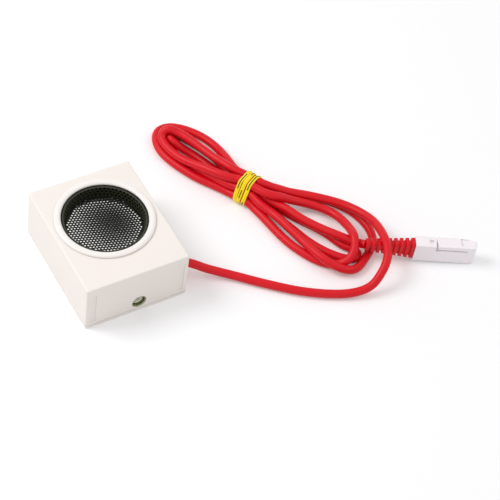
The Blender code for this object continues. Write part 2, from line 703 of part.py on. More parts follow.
def make_board(green):
    board = add(
        "circuit_board",
        rounded_block(
            (BOARD_WIDTH, BOARD_LENGTH, BOARD_THICKNESS),
            (0, BOARD_MIDDLE, BOARD_BOTTOM + BOARD_THICKNESS / 2), BOARD_CORNER, 0, corner_steps=2,
        ),
        green,
    )
    holes = bmesh.new()
    for x, y in board_corners():
        cylinder(holes, SCREW_RADIUS + GAP, (x, y, BOARD_BOTTOM - BOARD_THICKNESS),
                 (x, y, BOARD_TOP + BOARD_THICKNESS), steps=12)
    combine(board, "board_holes", holes, "DIFFERENCE")


def make_chip(name, size, place, legs, material):
    """A flat moulded package with a row of bent legs down each long side."""
    length, width, height = size
    x, y = place
    bm = rounded_block(
        (length, width, height - CHIP_STANDOFF), (x, y, PART_BOTTOM + (height + CHIP_STANDOFF) / 2),
        PART_EDGE / 2, PART_EDGE, rim_z=PART_BOTTOM + height, corner_steps=1, rim_steps=1,
    )
    body = add(name, bm, material)
    feet = bmesh.new()
    pitch = length / (legs + 0.5)
    tall = CHIP_STANDOFF + height / 3
    for sign in (-1, 1):
        for i in range(legs):
            leg_x = x + (i - (legs - 1) / 2) * pitch
            place = (leg_x, y + sign * width / 2, PART_BOTTOM + tall / 2)
            block(feet, (LEG_THICKNESS, 2 * LEG_REACH, tall), place)
    combine(body, f"{name}_legs", feet, "UNION")


def seated_block(name, size, place, material, corner=PART_EDGE, corner_steps=1):
    """A moulded or drawn case that stands on the board."""
    length, width, height = size
    bm = rounded_block(
        size, (*place, PART_BOTTOM + height / 2), corner, PART_EDGE,
        rim_z=PART_BOTTOM + height, corner_steps=corner_steps, rim_steps=1,
    )
    add(name, bm, material)


def make_transformer(place, ferrite, copper):
    """An E core on its side, with a winding round each outer leg's window."""
    length, width, height = CORE_SIZE
    x, y = place
    ring = bmesh.new()
    block(ring, CORE_SIZE, (x, y, PART_BOTTOM + height / 2))
    core = add("transformer_core", ring, ferrite)
    windows = bmesh.new()
    window_x = length - 2 * CORE_WINDOW
    window_y = width / 2 - CORE_WINDOW
    for sign in (-1, 1):
        place = (x, y + sign * window_y, PART_BOTTOM + height / 2)
        block(windows, (window_x, CORE_WINDOW, 2 * height), place)
    combine(core, "core_windows", windows, "DIFFERENCE")
    for i, sign in enumerate((-1, 1), 1):
        size = (window_x - 2 * GAP, CORE_WINDOW - 2 * GAP, height)
        place = (x, y + sign * window_y, PART_BOTTOM + height / 2)
        bm = rounded_block(size, place, PART_EDGE, 0, corner_steps=2)
        add(f"transformer_winding_{i}", bm, copper)


def make_parts_on_board(chip_black, ferrite, copper, blue, silver, white):
    """The step-up transformer, its driver chips and the capacitors, in rows across the board."""
    edge = STANDOFF_X - SCREW_HEAD - RUNNING_GAP
    row = EYE_OFFSET + WIRE_ROOM
    make_transformer((CORE_SIZE[0] / 2 - edge, row + CORE_SIZE[1] / 2), ferrite, copper)
    ranging_x = edge - RANGING_SIZE[0] / 2
    ranging_y = row + LEG_REACH + RANGING_SIZE[1] / 2
    make_chip("ranging_chip", RANGING_SIZE, (ranging_x, ranging_y), RANGING_LEGS, chip_black)

    far_y = row + CORE_SIZE[1] + FAR_ROOM + CRYSTAL_SIZE[1] / 2
    crystal_x = edge - CRYSTAL_SIZE[0] / 2
    film_x = crystal_x - (CRYSTAL_SIZE[0] + FILM_SIZE[0]) / 2 - ROW_ROOM
    seated_block("timing_crystal", CRYSTAL_SIZE, (crystal_x, far_y), silver, CRYSTAL_CORNER, corner_steps=4)
    seated_block("film_capacitor", FILM_SIZE, (film_x, far_y), white)

    can_y = EYE_OFFSET - WIRE_ROOM - CAN_RADIUS
    top = PART_BOTTOM + CAN_HEIGHT
    foot = PART_BOTTOM + CAN_RADIUS / 3
    can = turned([
        (0, PART_BOTTOM), (CAN_RADIUS, PART_BOTTOM), (CAN_RADIUS, foot - CAN_GROOVE),
        (CAN_RADIUS - CAN_GROOVE, foot), (CAN_RADIUS, foot + CAN_GROOVE), (CAN_RADIUS, top - CAN_GROOVE),
        (CAN_RADIUS - CAN_GROOVE, top), (0, top),
    ], closed=False, steps=20)
    add("storage_capacitor", moved(can, Matrix.Translation((ranging_x, can_y, 0))), blue)

    chip_y = EYE_OFFSET - WIRE_ROOM - LEG_REACH - SMALL_CHIP_SIZE[1] / 2
    driver_x = SMALL_CHIP_SIZE[0] / 2 - edge
    timer_x = driver_x + SMALL_CHIP_SIZE[0] + ROW_ROOM
    make_chip("driver_chip", SMALL_CHIP_SIZE, (driver_x, chip_y), SMALL_CHIP_LEGS, chip_black)
    make_chip("timer_chip", SMALL_CHIP_SIZE, (timer_x, chip_y), SMALL_CHIP_LEGS, chip_black)


def header_centre():
    return (HOUSING_WIDTH / 2 - WALL - STUB_LENGTH - HEADER_STEP, BOARD_NEAR + HEADER_INSET)


def make_cord_entry(red, rubber, nylon, white, wire_finishes):
    """The grommet, the jacket's stub behind it, the tie that stops it pulling out, and its wires."""
    side = HOUSING_WIDTH / 2
    inner = side - WALL - GAP
    outer = side + GAP
    lip = GROMMET_OUTER + GROMMET_FLANGE
    catch = GROMMET_OUTER + GROMMET_CATCH
    profile = [
        (GROMMET_BORE, inner - GROMMET_LIP), (catch, inner - GROMMET_LIP), (catch, inner),
        (GROMMET_OUTER, inner), (GROMMET_OUTER, outer), (lip, outer),
        (lip, outer + GROMMET_LIP / 2), (lip - GROMMET_LIP / 2, outer + GROMMET_LIP),
        (GROMMET_OUTER, outer + GROMMET_LIP), (GROMMET_BORE + GROMMET_WALL / 2, side + GROMMET_NOSE),
        (GROMMET_BORE, side + GROMMET_NOSE),
    ]
    place = Matrix.Translation((0, CORD_EXIT_Y, CORD_EXIT_HEIGHT)) @ Matrix.Rotation(math.pi / 2, 4, "Y")
    add("cord_grommet", moved(turned(profile, steps=20), place), rubber)

    stub_start = side - WALL - STUB_LENGTH
    stub = bmesh.new()
    cylinder(
        stub, CORD_RADIUS, (stub_start, CORD_EXIT_Y, CORD_EXIT_HEIGHT), (side, CORD_EXIT_Y, CORD_EXIT_HEIGHT)
    )
    add("cord_stub", stub, red)

    tie_x = inner - GROMMET_LIP - GAP - TIE_WIDTH
    ring = turned([
        (CORD_RADIUS + GAP, tie_x), (CORD_RADIUS + GAP + TIE_WALL, tie_x),
        (CORD_RADIUS + GAP + TIE_WALL, tie_x + TIE_WIDTH), (CORD_RADIUS + GAP, tie_x + TIE_WIDTH),
    ], steps=20)
    tie = add("cable_tie", moved(ring, place), nylon)
    lock = bmesh.new()
    lock_low = CORD_EXIT_HEIGHT + CORD_RADIUS + GAP + TIE_WALL / 3
    block(lock, TIE_LOCK, (tie_x + TIE_WIDTH - TIE_LOCK[0] / 2, CORD_EXIT_Y, lock_low + TIE_LOCK[2] / 2))
    combine(tie, "cable_tie_lock", lock, "UNION")

    header_x, header_y = header_centre()
    seated_block("cord_header", HEADER_SIZE, (header_x, header_y), white)
    pitch = HEADER_SIZE[0] / (WIRE_COUNT + 1)
    spread = 1.5 * WIRE_DIAMETER
    for i in range(WIRE_COUNT):
        side_step, layer = i % 2 - 0.5, i // 2
        start = Vector((stub_start - GAP, CORD_EXIT_Y + side_step * spread,
                        CORD_EXIT_HEIGHT + (layer - 0.5) * spread))
        offset = (2 * (i % 2) + layer - (WIRE_COUNT - 1) / 2) * pitch
        end = Vector((header_x + offset, header_y, PART_BOTTOM + HEADER_SIZE[2] + GAP))
        rise = WIRE_RISE + layer * WIRE_DIAMETER
        route = [start, start - Vector((spread, 0, 0)), (start + end) / 2 + Vector((0, 0, rise)),
                 end + Vector((0, 0, WIRE_RISE)), end]
        tube(f"cord_wire_{i + 1}", smooth_route(route, 12), WIRE_DIAMETER, wire_finishes[i], resolution=1)


def make_transducer_wires(finishes):
    """Two short wires from the transducer's terminals down to the board's clear aisle."""
    tab = CUP_FLOOR_TOP - TERMINAL_DROP - CUP_FLOOR
    for i, sign in enumerate((-1, 1), 1):
        start = Vector((sign * TERMINAL_SPACING / 2, EYE_OFFSET, tab - GAP))
        end = Vector((sign * PAD_SPACING / 2, EYE_OFFSET, BOARD_TOP + GAP))
        middle = Vector((start.x, EYE_OFFSET, (start.z + end.z) / 2))
        route = smooth_route([start, middle, end], 9)
        tube(f"transducer_wire_{i}", route, WIRE_DIAMETER, finishes[i], resolution=1)


def plug_frame():
    """Maps x along the plug from its joint with the boot, y across it and z up from its lower edge."""
    level = Matrix.Translation((*PLUG_JOINT, 0)) @ Matrix.Rotation(PLUG_HEADING, 4, "Z")
    tilt = Matrix.Translation((PLUG_LENGTH, 0, PLUG_FLOOR)) @ Matrix.Rotation(PLUG_TILT, 4, "Y")
    return level @ tilt @ Matrix.Translation((-PLUG_LENGTH, 0, 0))


def make_plug(white, brass):
    """The flat plug on its narrow edge: latch arm above, contact blades in slots near the nose."""
    frame = plug_frame()
    bm = bmesh.new()
    block(bm, (PLUG_LENGTH, PLUG_THICKNESS, PLUG_TALL), (PLUG_LENGTH / 2, 0, PLUG_TALL / 2))
    nose = [e for e in bm.edges if upright(e) and e.verts[0].co.x > PLUG_LENGTH / 2]
    bevel_edges(bm, nose, NOSE_RADIUS, 4)
    lengthwise = [e for e in bm.edges if abs(e.verts[0].co.x - e.verts[1].co.x) > PLUG_LENGTH / 2]
    bevel_edges(bm, lengthwise, PLUG_CHAMFER / 2, 2)
    body = add("plug_body", moved(bm, frame), white)

    cuts = bmesh.new()
    wide = 2 * PLUG_THICKNESS
    arm_low = PLUG_TALL - LATCH_THICKNESS
    slot = [(LATCH_START, arm_low - 2 * LATCH_GAP), (LATCH_START + 4 * LATCH_GAP, arm_low - LATCH_GAP),
            (LATCH_END, arm_low - LATCH_GAP), (LATCH_END, arm_low), (LATCH_START + LATCH_GAP, arm_low),
            (LATCH_START + LATCH_GAP, PLUG_TALL + LATCH_GAP), (LATCH_START, PLUG_TALL + LATCH_GAP)]
    slot_bm = prism([(x, -wide / 2, z) for x, z in slot], (0, wide, 0))
    combine(body, "latch_slot", moved(slot_bm, frame), "DIFFERENCE")

    step_end = PLUG_LENGTH - PLUG_CHAMFER
    block(cuts, (LATCH_STEP_LENGTH, PLUG_THICKNESS - PLUG_CHAMFER * 2, 2 * LATCH_STEP),
          (step_end - LATCH_STEP_LENGTH / 2, PLUG_CHAMFER, PLUG_TALL))
    block(cuts, (DIMPLE_SIZE, DIMPLE_SIZE, DIMPLE_SIZE), (LATCH_START - DIMPLE_SIZE, 0, PLUG_TALL))
    middle = PLUG_TALL / 2 - CONTACT_DROP
    contact_z = [middle + (i - (CONTACT_COUNT - 1) / 2) * CONTACT_PITCH for i in range(CONTACT_COUNT)]
    contact_x = PLUG_LENGTH - NOSE_RADIUS - CONTACT_LENGTH / 2 - PLUG_CHAMFER
    slot_tall = CONTACT_THICKNESS + 2 * GAP
    for z in contact_z:
        block(cuts, (CONTACT_LENGTH + 2 * GAP, 2 * (CONTACT_DEPTH + GAP), slot_tall),
              (contact_x, PLUG_THICKNESS / 2, z))
    combine(body, "plug_cuts", moved(cuts, frame), "DIFFERENCE")

    for i, z in enumerate(contact_z, 1):
        blade = bmesh.new()
        block(blade, (CONTACT_LENGTH, CONTACT_DEPTH - GAP, CONTACT_THICKNESS),
              (contact_x, PLUG_THICKNESS / 2 - (CONTACT_DEPTH + GAP) / 2, z))
        add(f"plug_contact_{i}", moved(blade, frame), brass)


def make_boot(red):
    """The tapered strain relief behind the plug: square ribs with grooves between them."""
    frame = plug_frame()
    bm = bmesh.new()
    pitch = (BOOT_LENGTH - GAP) / (BOOT_RIBS - 1 + RIB_SHARE)
    sections = []
    for i in range(BOOT_RIBS):
        start = -GAP - i * pitch
        rib_end = start - pitch * RIB_SHARE
        sections += [(start, 0.0), (rib_end, 0.0)]
        if i < BOOT_RIBS - 1:
            slope = pitch * (1 - RIB_SHARE) / 6
            sections += [(rib_end - slope, BOOT_GROOVE), (start - pitch + slope, BOOT_GROOVE)]
    loops = []
    for x, inset in sections:
        share = -x / BOOT_LENGTH
        thick = PLUG_THICKNESS - 2 * GAP + (BOOT_NARROW_THICKNESS - PLUG_THICKNESS) * share - 2 * inset
        tall = PLUG_TALL - 2 * GAP + (BOOT_NARROW_TALL - PLUG_TALL) * share - 2 * inset
        y, z, cut = thick / 2, tall / 2, BOOT_CHAMFER
        shape = [(y, z - cut), (y - cut, z), (-y + cut, z), (-y, z - cut),
                 (-y, -z + cut), (-y + cut, -z), (y - cut, -z), (y, -z + cut)]
        verts = [bm.verts.new((x, a, PLUG_TALL / 2 + b)) for a, b in shape]
        loops.append([bm.edges.new((verts[k], verts[(k + 1) % 8])) for k in range(8)])
    for near, far in zip(loops, loops[1:]):
        bmesh.ops.bridge_loops(bm, edges=near + far)
    bmesh.ops.holes_fill(bm, edges=bm.edges, sides=0)
    add("plug_boot", moved(bm, frame), red)


def make_free_cord(red, tie_finish):
    tube("cord_lead", smooth_route(LEAD_ROUTE, LEAD_POINTS), CORD_DIAMETER, red)

    outline = smooth_loop([(x, y, HANK_BOTTOM) for x, y in HANK_OUTLINE], HANK_STEPS)
    add("cord_hank", prism(outline, (0, 0, HANK_HEIGHT)), red)

    frame = plug_frame()
    axis = PLUG_TALL / 2
    near = frame @ Vector((-BOOT_LENGTH - GAP, 0, axis))
    far = frame @ Vector((-BOOT_LENGTH - GAP - TAIL_LENGTH, 0, axis))
    tube("cord_tail", [near, (near + far) / 2, far], CORD_DIAMETER, red)

    half = WAIST_WIDTH / 2 + GAP
    low, high = HANK_BOTTOM - GAP, HANK_BOTTOM + HANK_HEIGHT + GAP
    middle = (0, 0, (low + high) / 2)
    turn = Matrix.Translation((*WAIST_CENTRE, 0)) @ Matrix.Rotation(WAIST_ANGLE + math.pi / 2, 4, "Z")
    outer, inner = bmesh.new(), bmesh.new()
    block(outer, (2 * (half + TWIST_BAND), TWIST_WIDTH, high - low + 2 * TWIST_BAND), middle)
    band = add("twist_tie", moved(outer, turn), tie_finish)
    block(inner, (2 * half, 2 * TWIST_WIDTH, high - low), middle)
    combine(band, "twist_tie_opening", moved(inner, turn), "DIFFERENCE")


def main():
    clear_scene()
    white = finish("white_abs", (0.83, 0.80, 0.77), 0.42)
    ring_white = finish("bezel_white", (0.88, 0.86, 0.83), 0.35)
    black = finish("black_metal", (0.012, 0.014, 0.011), 0.45, 0.6)
    foil = finish("foil", (0.75, 0.75, 0.70), 0.2, 1.0)
    metal = finish("aluminium", (0.6, 0.6, 0.6), 0.35, 1.0)
    plastic = finish("black_plastic", (0.02, 0.02, 0.02), 0.5)
    brass = finish("brass", (0.55, 0.42, 0.20), 0.3, 1.0)
    steel = finish("zinc_steel", (0.5, 0.5, 0.5), 0.35, 1.0)
    green = finish("board_green", (0.02, 0.12, 0.05), 0.45)
    red = finish("red_pvc", (0.58, 0.012, 0.020), 0.38)
    plug_white = finish("plug_white", (0.74, 0.68, 0.70), 0.3)
    make_top_housing(white)
    make_base_plate(white)
    make_bezel(ring_white)
    make_transducer(black, black, foil, metal, plastic, brass)
    make_insert(brass)
    make_screws(steel)
    make_board(green)
    make_parts_on_board(
        plastic, finish("ferrite", (0.04, 0.04, 0.045), 0.6), finish("winding_tape", (0.55, 0.40, 0.05), 0.5),
        finish("capacitor_sleeve", (0.02, 0.04, 0.12), 0.35), steel,
        finish("film_yellow", (0.60, 0.36, 0.04), 0.5),
    )
    wires = [finish(f"wire_{name}", color, 0.45) for name, color in (
        ("black", (0.02, 0.02, 0.02)), ("red", (0.55, 0.02, 0.02)),
        ("green", (0.03, 0.30, 0.06)), ("yellow", (0.75, 0.55, 0.03)),
    )]
    make_cord_entry(red, red, finish("nylon", (0.75, 0.73, 0.68), 0.5), plug_white, wires)
    make_transducer_wires([wires[0], wires[0], wires[1]])
    make_plug(plug_white, brass)
    make_boot(red)
    make_free_cord(red, finish("tie_yellow", (0.80, 0.62, 0.02), 0.4))


main()
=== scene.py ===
import json
import math

import bmesh
import bpy
import numpy as np
from mathutils import Matrix, Vector


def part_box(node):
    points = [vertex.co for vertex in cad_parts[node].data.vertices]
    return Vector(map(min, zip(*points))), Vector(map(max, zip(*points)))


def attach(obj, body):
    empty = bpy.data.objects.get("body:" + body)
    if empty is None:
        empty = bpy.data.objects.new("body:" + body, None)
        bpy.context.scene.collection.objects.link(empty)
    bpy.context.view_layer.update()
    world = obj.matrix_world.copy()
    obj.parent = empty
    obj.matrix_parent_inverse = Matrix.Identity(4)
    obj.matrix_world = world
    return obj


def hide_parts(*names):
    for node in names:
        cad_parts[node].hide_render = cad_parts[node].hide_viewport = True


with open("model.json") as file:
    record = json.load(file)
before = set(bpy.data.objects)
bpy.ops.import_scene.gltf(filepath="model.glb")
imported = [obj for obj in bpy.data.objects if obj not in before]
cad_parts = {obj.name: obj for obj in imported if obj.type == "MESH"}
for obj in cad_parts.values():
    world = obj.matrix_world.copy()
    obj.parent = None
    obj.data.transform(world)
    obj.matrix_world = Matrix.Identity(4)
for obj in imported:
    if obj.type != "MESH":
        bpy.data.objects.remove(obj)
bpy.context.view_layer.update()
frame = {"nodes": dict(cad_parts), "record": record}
nodes = frame["nodes"]
scene = bpy.context.scene
scene.view_settings.view_transform = "Standard"

# the photograph's viewing angle, worked out from the box's corners
camera = {
    "position": (-0.2926, -0.5256, 0.7487),
    "forward": (0.3719, 0.5179, -0.7704),
    "right": (0.8738, -0.4755, 0.1021),
    "lens": 140.54,  # mm on a 36 mm sensor
}


def placeCamera():
    forward = Vector(camera["forward"]).normalized()
    right = Vector(camera["right"])
    right = (right - forward * right.dot(forward)).normalized()
    up = right.cross(forward)
    turn = Matrix((right, up, -forward)).transposed().to_4x4()
    data = bpy.data.cameras.new("productCamera")
    data.sensor_fit = "HORIZONTAL"
    data.sensor_width = 36.0
    data.lens = camera["lens"]
    data.clip_end = 20.0
    eye = bpy.data.objects.new("productCamera", data)
    eye.matrix_world = Matrix.Translation(camera["position"]) @ turn
    scene.collection.objects.link(eye)
    scene.camera = eye


placeCamera()
print("camera placed")


def linear(red, green, blue):  # an sRGB colour, 0 to 255, as the shader wants it
    shares = [c / 255 for c in (red, green, blue)]
    return tuple(s / 12.92 if s <= 0.04 else ((s + 0.055) / 1.055) ** 2.4 for s in shares) + (1.0,)


def openGroup(name, inputs, outputs):
    group = bpy.data.node_groups.new(name, "ShaderNodeTree")
    for label, kind, value in inputs:
        group.interface.new_socket(label, in_out="INPUT", socket_type=kind).default_value = value
    for label, kind in outputs:
        group.interface.new_socket(label, in_out="OUTPUT", socket_type=kind)
    return group, group.nodes.new("NodeGroupInput"), group.nodes.new("NodeGroupOutput")


def mathNode(tree, operation, first, second=None, third=None):
    node = tree.nodes.new("ShaderNodeMath")
    node.operation = operation
    for socket, value in zip(node.inputs, (first, second, third)):
        if value is None:
            continue
        if isinstance(value, (int, float)):
            socket.default_value = value
        else:
            tree.links.new(value, socket)
    return node.outputs[0]


def noiseNode(tree, vector, scale, detail=2.0):
    node = tree.nodes.new("ShaderNodeTexNoise")
    node.inputs["Detail"].default_value = detail
    if isinstance(scale, (int, float)):
        node.inputs["Scale"].default_value = scale
    else:
        tree.links.new(scale, node.inputs["Scale"])
    tree.links.new(vector, node.inputs["Vector"])
    return node.outputs["Fac"]


def mixColour(tree, share, first, second):
    node = tree.nodes.new("ShaderNodeMix")
    node.data_type = "RGBA"
    for socket, value in ((node.inputs[0], share), (node.inputs[6], first), (node.inputs[7], second)):
        if isinstance(value, (int, float, tuple)):
            socket.default_value = value
        else:
            tree.links.new(value, socket)
    return node.outputs[2]


def makeSkinGroup():  # uneven colour, uneven gloss and a fine grain, as on any moulded or drawn surface
    group, entry, leave = openGroup(
        "surfaceSkin",
        [("Colour", "NodeSocketColor", (1, 1, 1, 1)), ("Shade", "NodeSocketColor", (0.9, 0.9, 0.9, 1)),
         ("Patch Scale", "NodeSocketFloat", 60.0), ("Grain Scale", "NodeSocketFloat", 2500.0),
         ("Roughness", "NodeSocketFloat", 0.4), ("Spread", "NodeSocketFloat", 0.1)],
        [("Colour", "NodeSocketColor"), ("Roughness", "NodeSocketFloat"), ("Height", "NodeSocketFloat")])
    place = group.nodes.new("ShaderNodeTexCoord").outputs["Object"]
    patch = noiseNode(group, place, entry.outputs["Patch Scale"], 3.0)
    grain = noiseNode(group, place, entry.outputs["Grain Scale"], 2.0)
    share = mathNode(group, "MULTIPLY_ADD", grain, 0.35, mathNode(group, "MULTIPLY", patch, 0.65))
    mixed = mixColour(group, share, entry.outputs["Colour"], entry.outputs["Shade"])
    group.links.new(mixed, leave.inputs["Colour"])
    swing = mathNode(group, "MULTIPLY", mathNode(group, "SUBTRACT", patch, 0.5), entry.outputs["Spread"])
    group.links.new(mathNode(group, "ADD", entry.outputs["Roughness"], swing), leave.inputs["Roughness"])
    group.links.new(grain, leave.inputs["Height"])
    return group


skinGroup = makeSkinGroup()


def makeFinish(name, colour, shade, patch, grain, roughness, spread=0.08, bump=0.12, depth=0.00004,
               metallic=0.0, **sockets):  # colour and shade are sRGB, 0 to 255, and the skin mixes them
    material = bpy.data.materials.new(name)
    material.use_nodes = True
    tree = material.node_tree
    shader = tree.nodes["Principled BSDF"]
    skin = tree.nodes.new("ShaderNodeGroup")
    skin.node_tree = skinGroup
    skin.inputs["Colour"].default_value = linear(*colour)
    skin.inputs["Shade"].default_value = linear(*shade)
    skin.inputs["Patch Scale"].default_value = patch
    skin.inputs["Grain Scale"].default_value = grain
    skin.inputs["Roughness"].default_value = roughness
    skin.inputs["Spread"].default_value = spread
    tree.links.new(skin.outputs["Colour"], shader.inputs["Base Color"])
    tree.links.new(skin.outputs["Roughness"], shader.inputs["Roughness"])
    relief = tree.nodes.new("ShaderNodeBump")
    relief.inputs["Strength"].default_value = bump
    relief.inputs["Distance"].default_value = depth
    tree.links.new(skin.outputs["Height"], relief.inputs["Height"])
    tree.links.new(relief.outputs["Normal"], shader.inputs["Normal"])
    shader.inputs["Metallic"].default_value = metallic
    for label, value in sockets.items():
        shader.inputs[label].default_value = value
    return material


finishes = {
    "housing": makeFinish("warmWhiteAbs", (247, 239, 233), (242, 234, 227), 90, 3200, 0.40, 0.06, 0.10),
    "bezel": makeFinish("bezelWhite", (249, 243, 239), (246, 240, 235), 90, 3600, 0.32, 0.05, 0.06),
    "black_cover": makeFinish("blackLacquer", (13, 14, 9), (8, 9, 6), 400, 5000, 0.42, 0.15, 0.15,
                              **{"Specular IOR Level": 0.25}),
    "dish_wall": makeFinish("oliveLacquer", (54, 56, 39), (43, 45, 30), 400, 5000, 0.42, 0.15, 0.15,
                            **{"Specular IOR Level": 0.3}),
    "foil": makeFinish("silverFilm", (255, 255, 252), (250, 250, 245), 300, 900, 0.035, 0.02, 0.02,
                       0.00002, 1.0),
    "aluminium": makeFinish("turnedAluminium", (205, 205, 205), (185, 185, 188), 200, 3000, 0.32, 0.15,
                            0.2, metallic=1.0),
    "spring_steel": makeFinish("springSteel", (190, 190, 188), (165, 165, 168), 200, 3000, 0.28, 0.15,
                               0.2, metallic=1.0),
    "black_plastic": makeFinish("blackMoulding", (38, 38, 38), (28, 28, 29), 90, 2600, 0.48, 0.1, 0.2),
    "brass": makeFinish("platedBrass", (222, 190, 120), (205, 168, 96), 200, 2600, 0.25, 0.12, 0.15,
                        metallic=1.0),
    "insert_brass": makeFinish("dullBrass", (150, 156, 112), (128, 134, 92), 260, 2600, 0.27, 0.12, 0.2,
                               metallic=1.0),
    "board": makeFinish("greenResist", (30, 98, 60), (20, 78, 46), 300, 2000, 0.32, 0.12, 0.25),
    "ferrite": makeFinish("ferriteGrey", (62, 62, 66), (44, 44, 48), 400, 1800, 0.62, 0.15, 0.5),
    "winding_tape": makeFinish("amberTape", (206, 160, 60), (188, 138, 44), 200, 2000, 0.3, 0.15, 0.3),
    "capacitor_sleeve": makeFinish("blueSleeve", (34, 52, 104), (24, 40, 86), 120, 2000, 0.28, 0.1, 0.1),
    "film_capacitor": makeFinish("amberDip", (204, 150, 48), (186, 130, 36), 160, 1500, 0.24, 0.1, 0.3),
    "zinc_steel": makeFinish("zincSteel", (196, 197, 194), (170, 172, 172), 260, 3000, 0.3, 0.2, 0.2,
                             metallic=1.0),
    "white_connector": makeFinish("naturalNylon", (228, 222, 208), (216, 210, 194), 120, 2400, 0.4),
    "wire_black": makeFinish("wireBlack", (30, 30, 30), (22, 22, 22), 200, 3000, 0.34),
    "wire_red": makeFinish("wireRed", (190, 30, 34), (172, 22, 26), 200, 3000, 0.34),
    "wire_green": makeFinish("wireGreen", (40, 142, 70), (30, 124, 58), 200, 3000, 0.34),
    "wire_yellow": makeFinish("wireYellow", (226, 190, 46), (210, 172, 36), 200, 3000, 0.34),
    "cord_red": makeFinish("softRedPvc", (224, 18, 34), (215, 13, 28), 160, 2200, 0.40, 0.10, 0.12,
                           **{"Specular IOR Level": 0.28}),
    "tie_yellow": makeFinish("tieYellow", (255, 234, 6), (254, 222, 4), 220, 1800, 0.40, 0.08, 0.2),
    "plug_white": makeFinish("plugPolycarbonate", (252, 244, 248), (247, 239, 243), 120, 3000, 0.24,
                             0.05, 0.05, **{"Coat Weight": 0.2, "Coat Roughness": 0.15}),
}
slotOf = {row["node"]: row["material_slot"] for row in frame["record"]["subparts"]}
print("finishes made")


def keepPiece(piece, replaced):
    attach(piece, "root")
    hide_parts(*replaced)


def addMesh(name, bm, slotName, replaced, smoothAngle, outward=True):
    if outward:
        bmesh.ops.recalc_face_normals(bm, faces=bm.faces)
    mesh = bpy.data.meshes.new(name)
    bm.to_mesh(mesh)
    bm.free()
    mesh.materials.append(finishes[slotName])
    mesh.shade_smooth()
    mesh.set_sharp_from_angle(angle=math.radians(smoothAngle))
    piece = bpy.data.objects.new(name, mesh)
    scene.collection.objects.link(piece)
    keepPiece(piece, replaced)
    return piece


def settleNormals(piece):  # the wide faces stay flat and the small roundings carry the bend
    weighted = piece.modifiers.new("weightedNormals", "WEIGHTED_NORMAL")
    weighted.keep_sharp = True
    weighted.mode = "FACE_AREA"


def carve(piece, cutters):  # cuts the bmesh out of the piece for good
    mesh = bpy.data.meshes.new("cutter")
    bmesh.ops.recalc_face_normals(cutters, faces=cutters.faces)
    cutters.to_mesh(mesh)
    cutters.free()
    tool = bpy.data.objects.new("cutter", mesh)
    scene.collection.objects.link(tool)
    cut = piece.modifiers.new("cut", "BOOLEAN")
    cut.operation = "DIFFERENCE"
    cut.solver = "EXACT"
    cut.object = tool
    done = bpy.data.meshes.new_from_object(piece.evaluated_get(bpy.context.evaluated_depsgraph_get()))
    piece.modifiers.remove(cut)
    piece.data = done
    bpy.data.objects.remove(tool)


def copyNode(name):  # the part's own solid with its loose triangles joined and smoothed
    bm = bmesh.new()
    bm.from_mesh(nodes[name].data)
    bmesh.ops.remove_doubles(bm, verts=bm.verts, dist=1e-6)
    bmesh.ops.dissolve_limit(bm, angle_limit=math.radians(0.5), verts=bm.verts, edges=bm.edges)
    settleNormals(addMesh(name + "Dressed", bm, slotOf[name], (name,), 32.0, outward=False))


def addRod(bm, radius, start, end, segments):
    start, end = Vector(start), Vector(end)
    turn = (end - start).to_track_quat("Z", "Y").to_matrix().to_4x4()
    bmesh.ops.create_cone(bm, cap_ends=True, segments=segments, radius1=radius, radius2=radius,
                          depth=(end - start).length, matrix=Matrix.Translation((start + end) / 2) @ turn)


def spinProfile(profile, segments, closed=True, place=None):  # (radius, height) points turned about Z
    bm = bmesh.new()
    verts = [bm.verts.new((radius, 0, height)) for radius, height in profile]
    edges = [bm.edges.new(pair) for pair in zip(verts, verts[1:] + verts[:1] if closed else verts[1:])]
    bmesh.ops.spin(bm, geom=verts + edges, cent=(0, 0, 0), axis=(0, 0, 1), angle=math.tau, steps=segments,
                   use_merge=True, use_duplicate=False)
    bmesh.ops.remove_doubles(bm, verts=bm.verts, dist=1e-7)
    if place is not None:
        bmesh.ops.transform(bm, matrix=place, verts=bm.verts)
    return bm


cord = {
    "exit": (0.0270, -0.0216, 0.0094),
    "length": 1.21,
    "diameter": 0.0044,
    "step": 0.0022,
    "tieCentre": (0.08415, 0.0098),
    "tieAngle": -59.67,
    "tieHalf": 0.0045,
    "fixedStart": 8,
    "sightSlope": (-0.4827, -0.6722),  # a run that sinks or rises keeps to this line
    "restHeight": 0.00232,
    "tightest": 0.0042,  # a fold opens up to this radius where it can
    "rounds": 700,
    "sink": 0.000012,  # what a free point drops in a round
    "sightPull": 0.08, "evenPull": 0.2, "openPull": 0.09, "stretchPull": 0.6,
    "leadReach": 0.235, "leadHold": 0.05, "hankHold": 0.006,  # how firmly the drawn height is kept
    "sideShare": (0.35, 0.35, 1.0),  # runs that meet move apart more in height than sideways
    "curveSteps": 24,
}
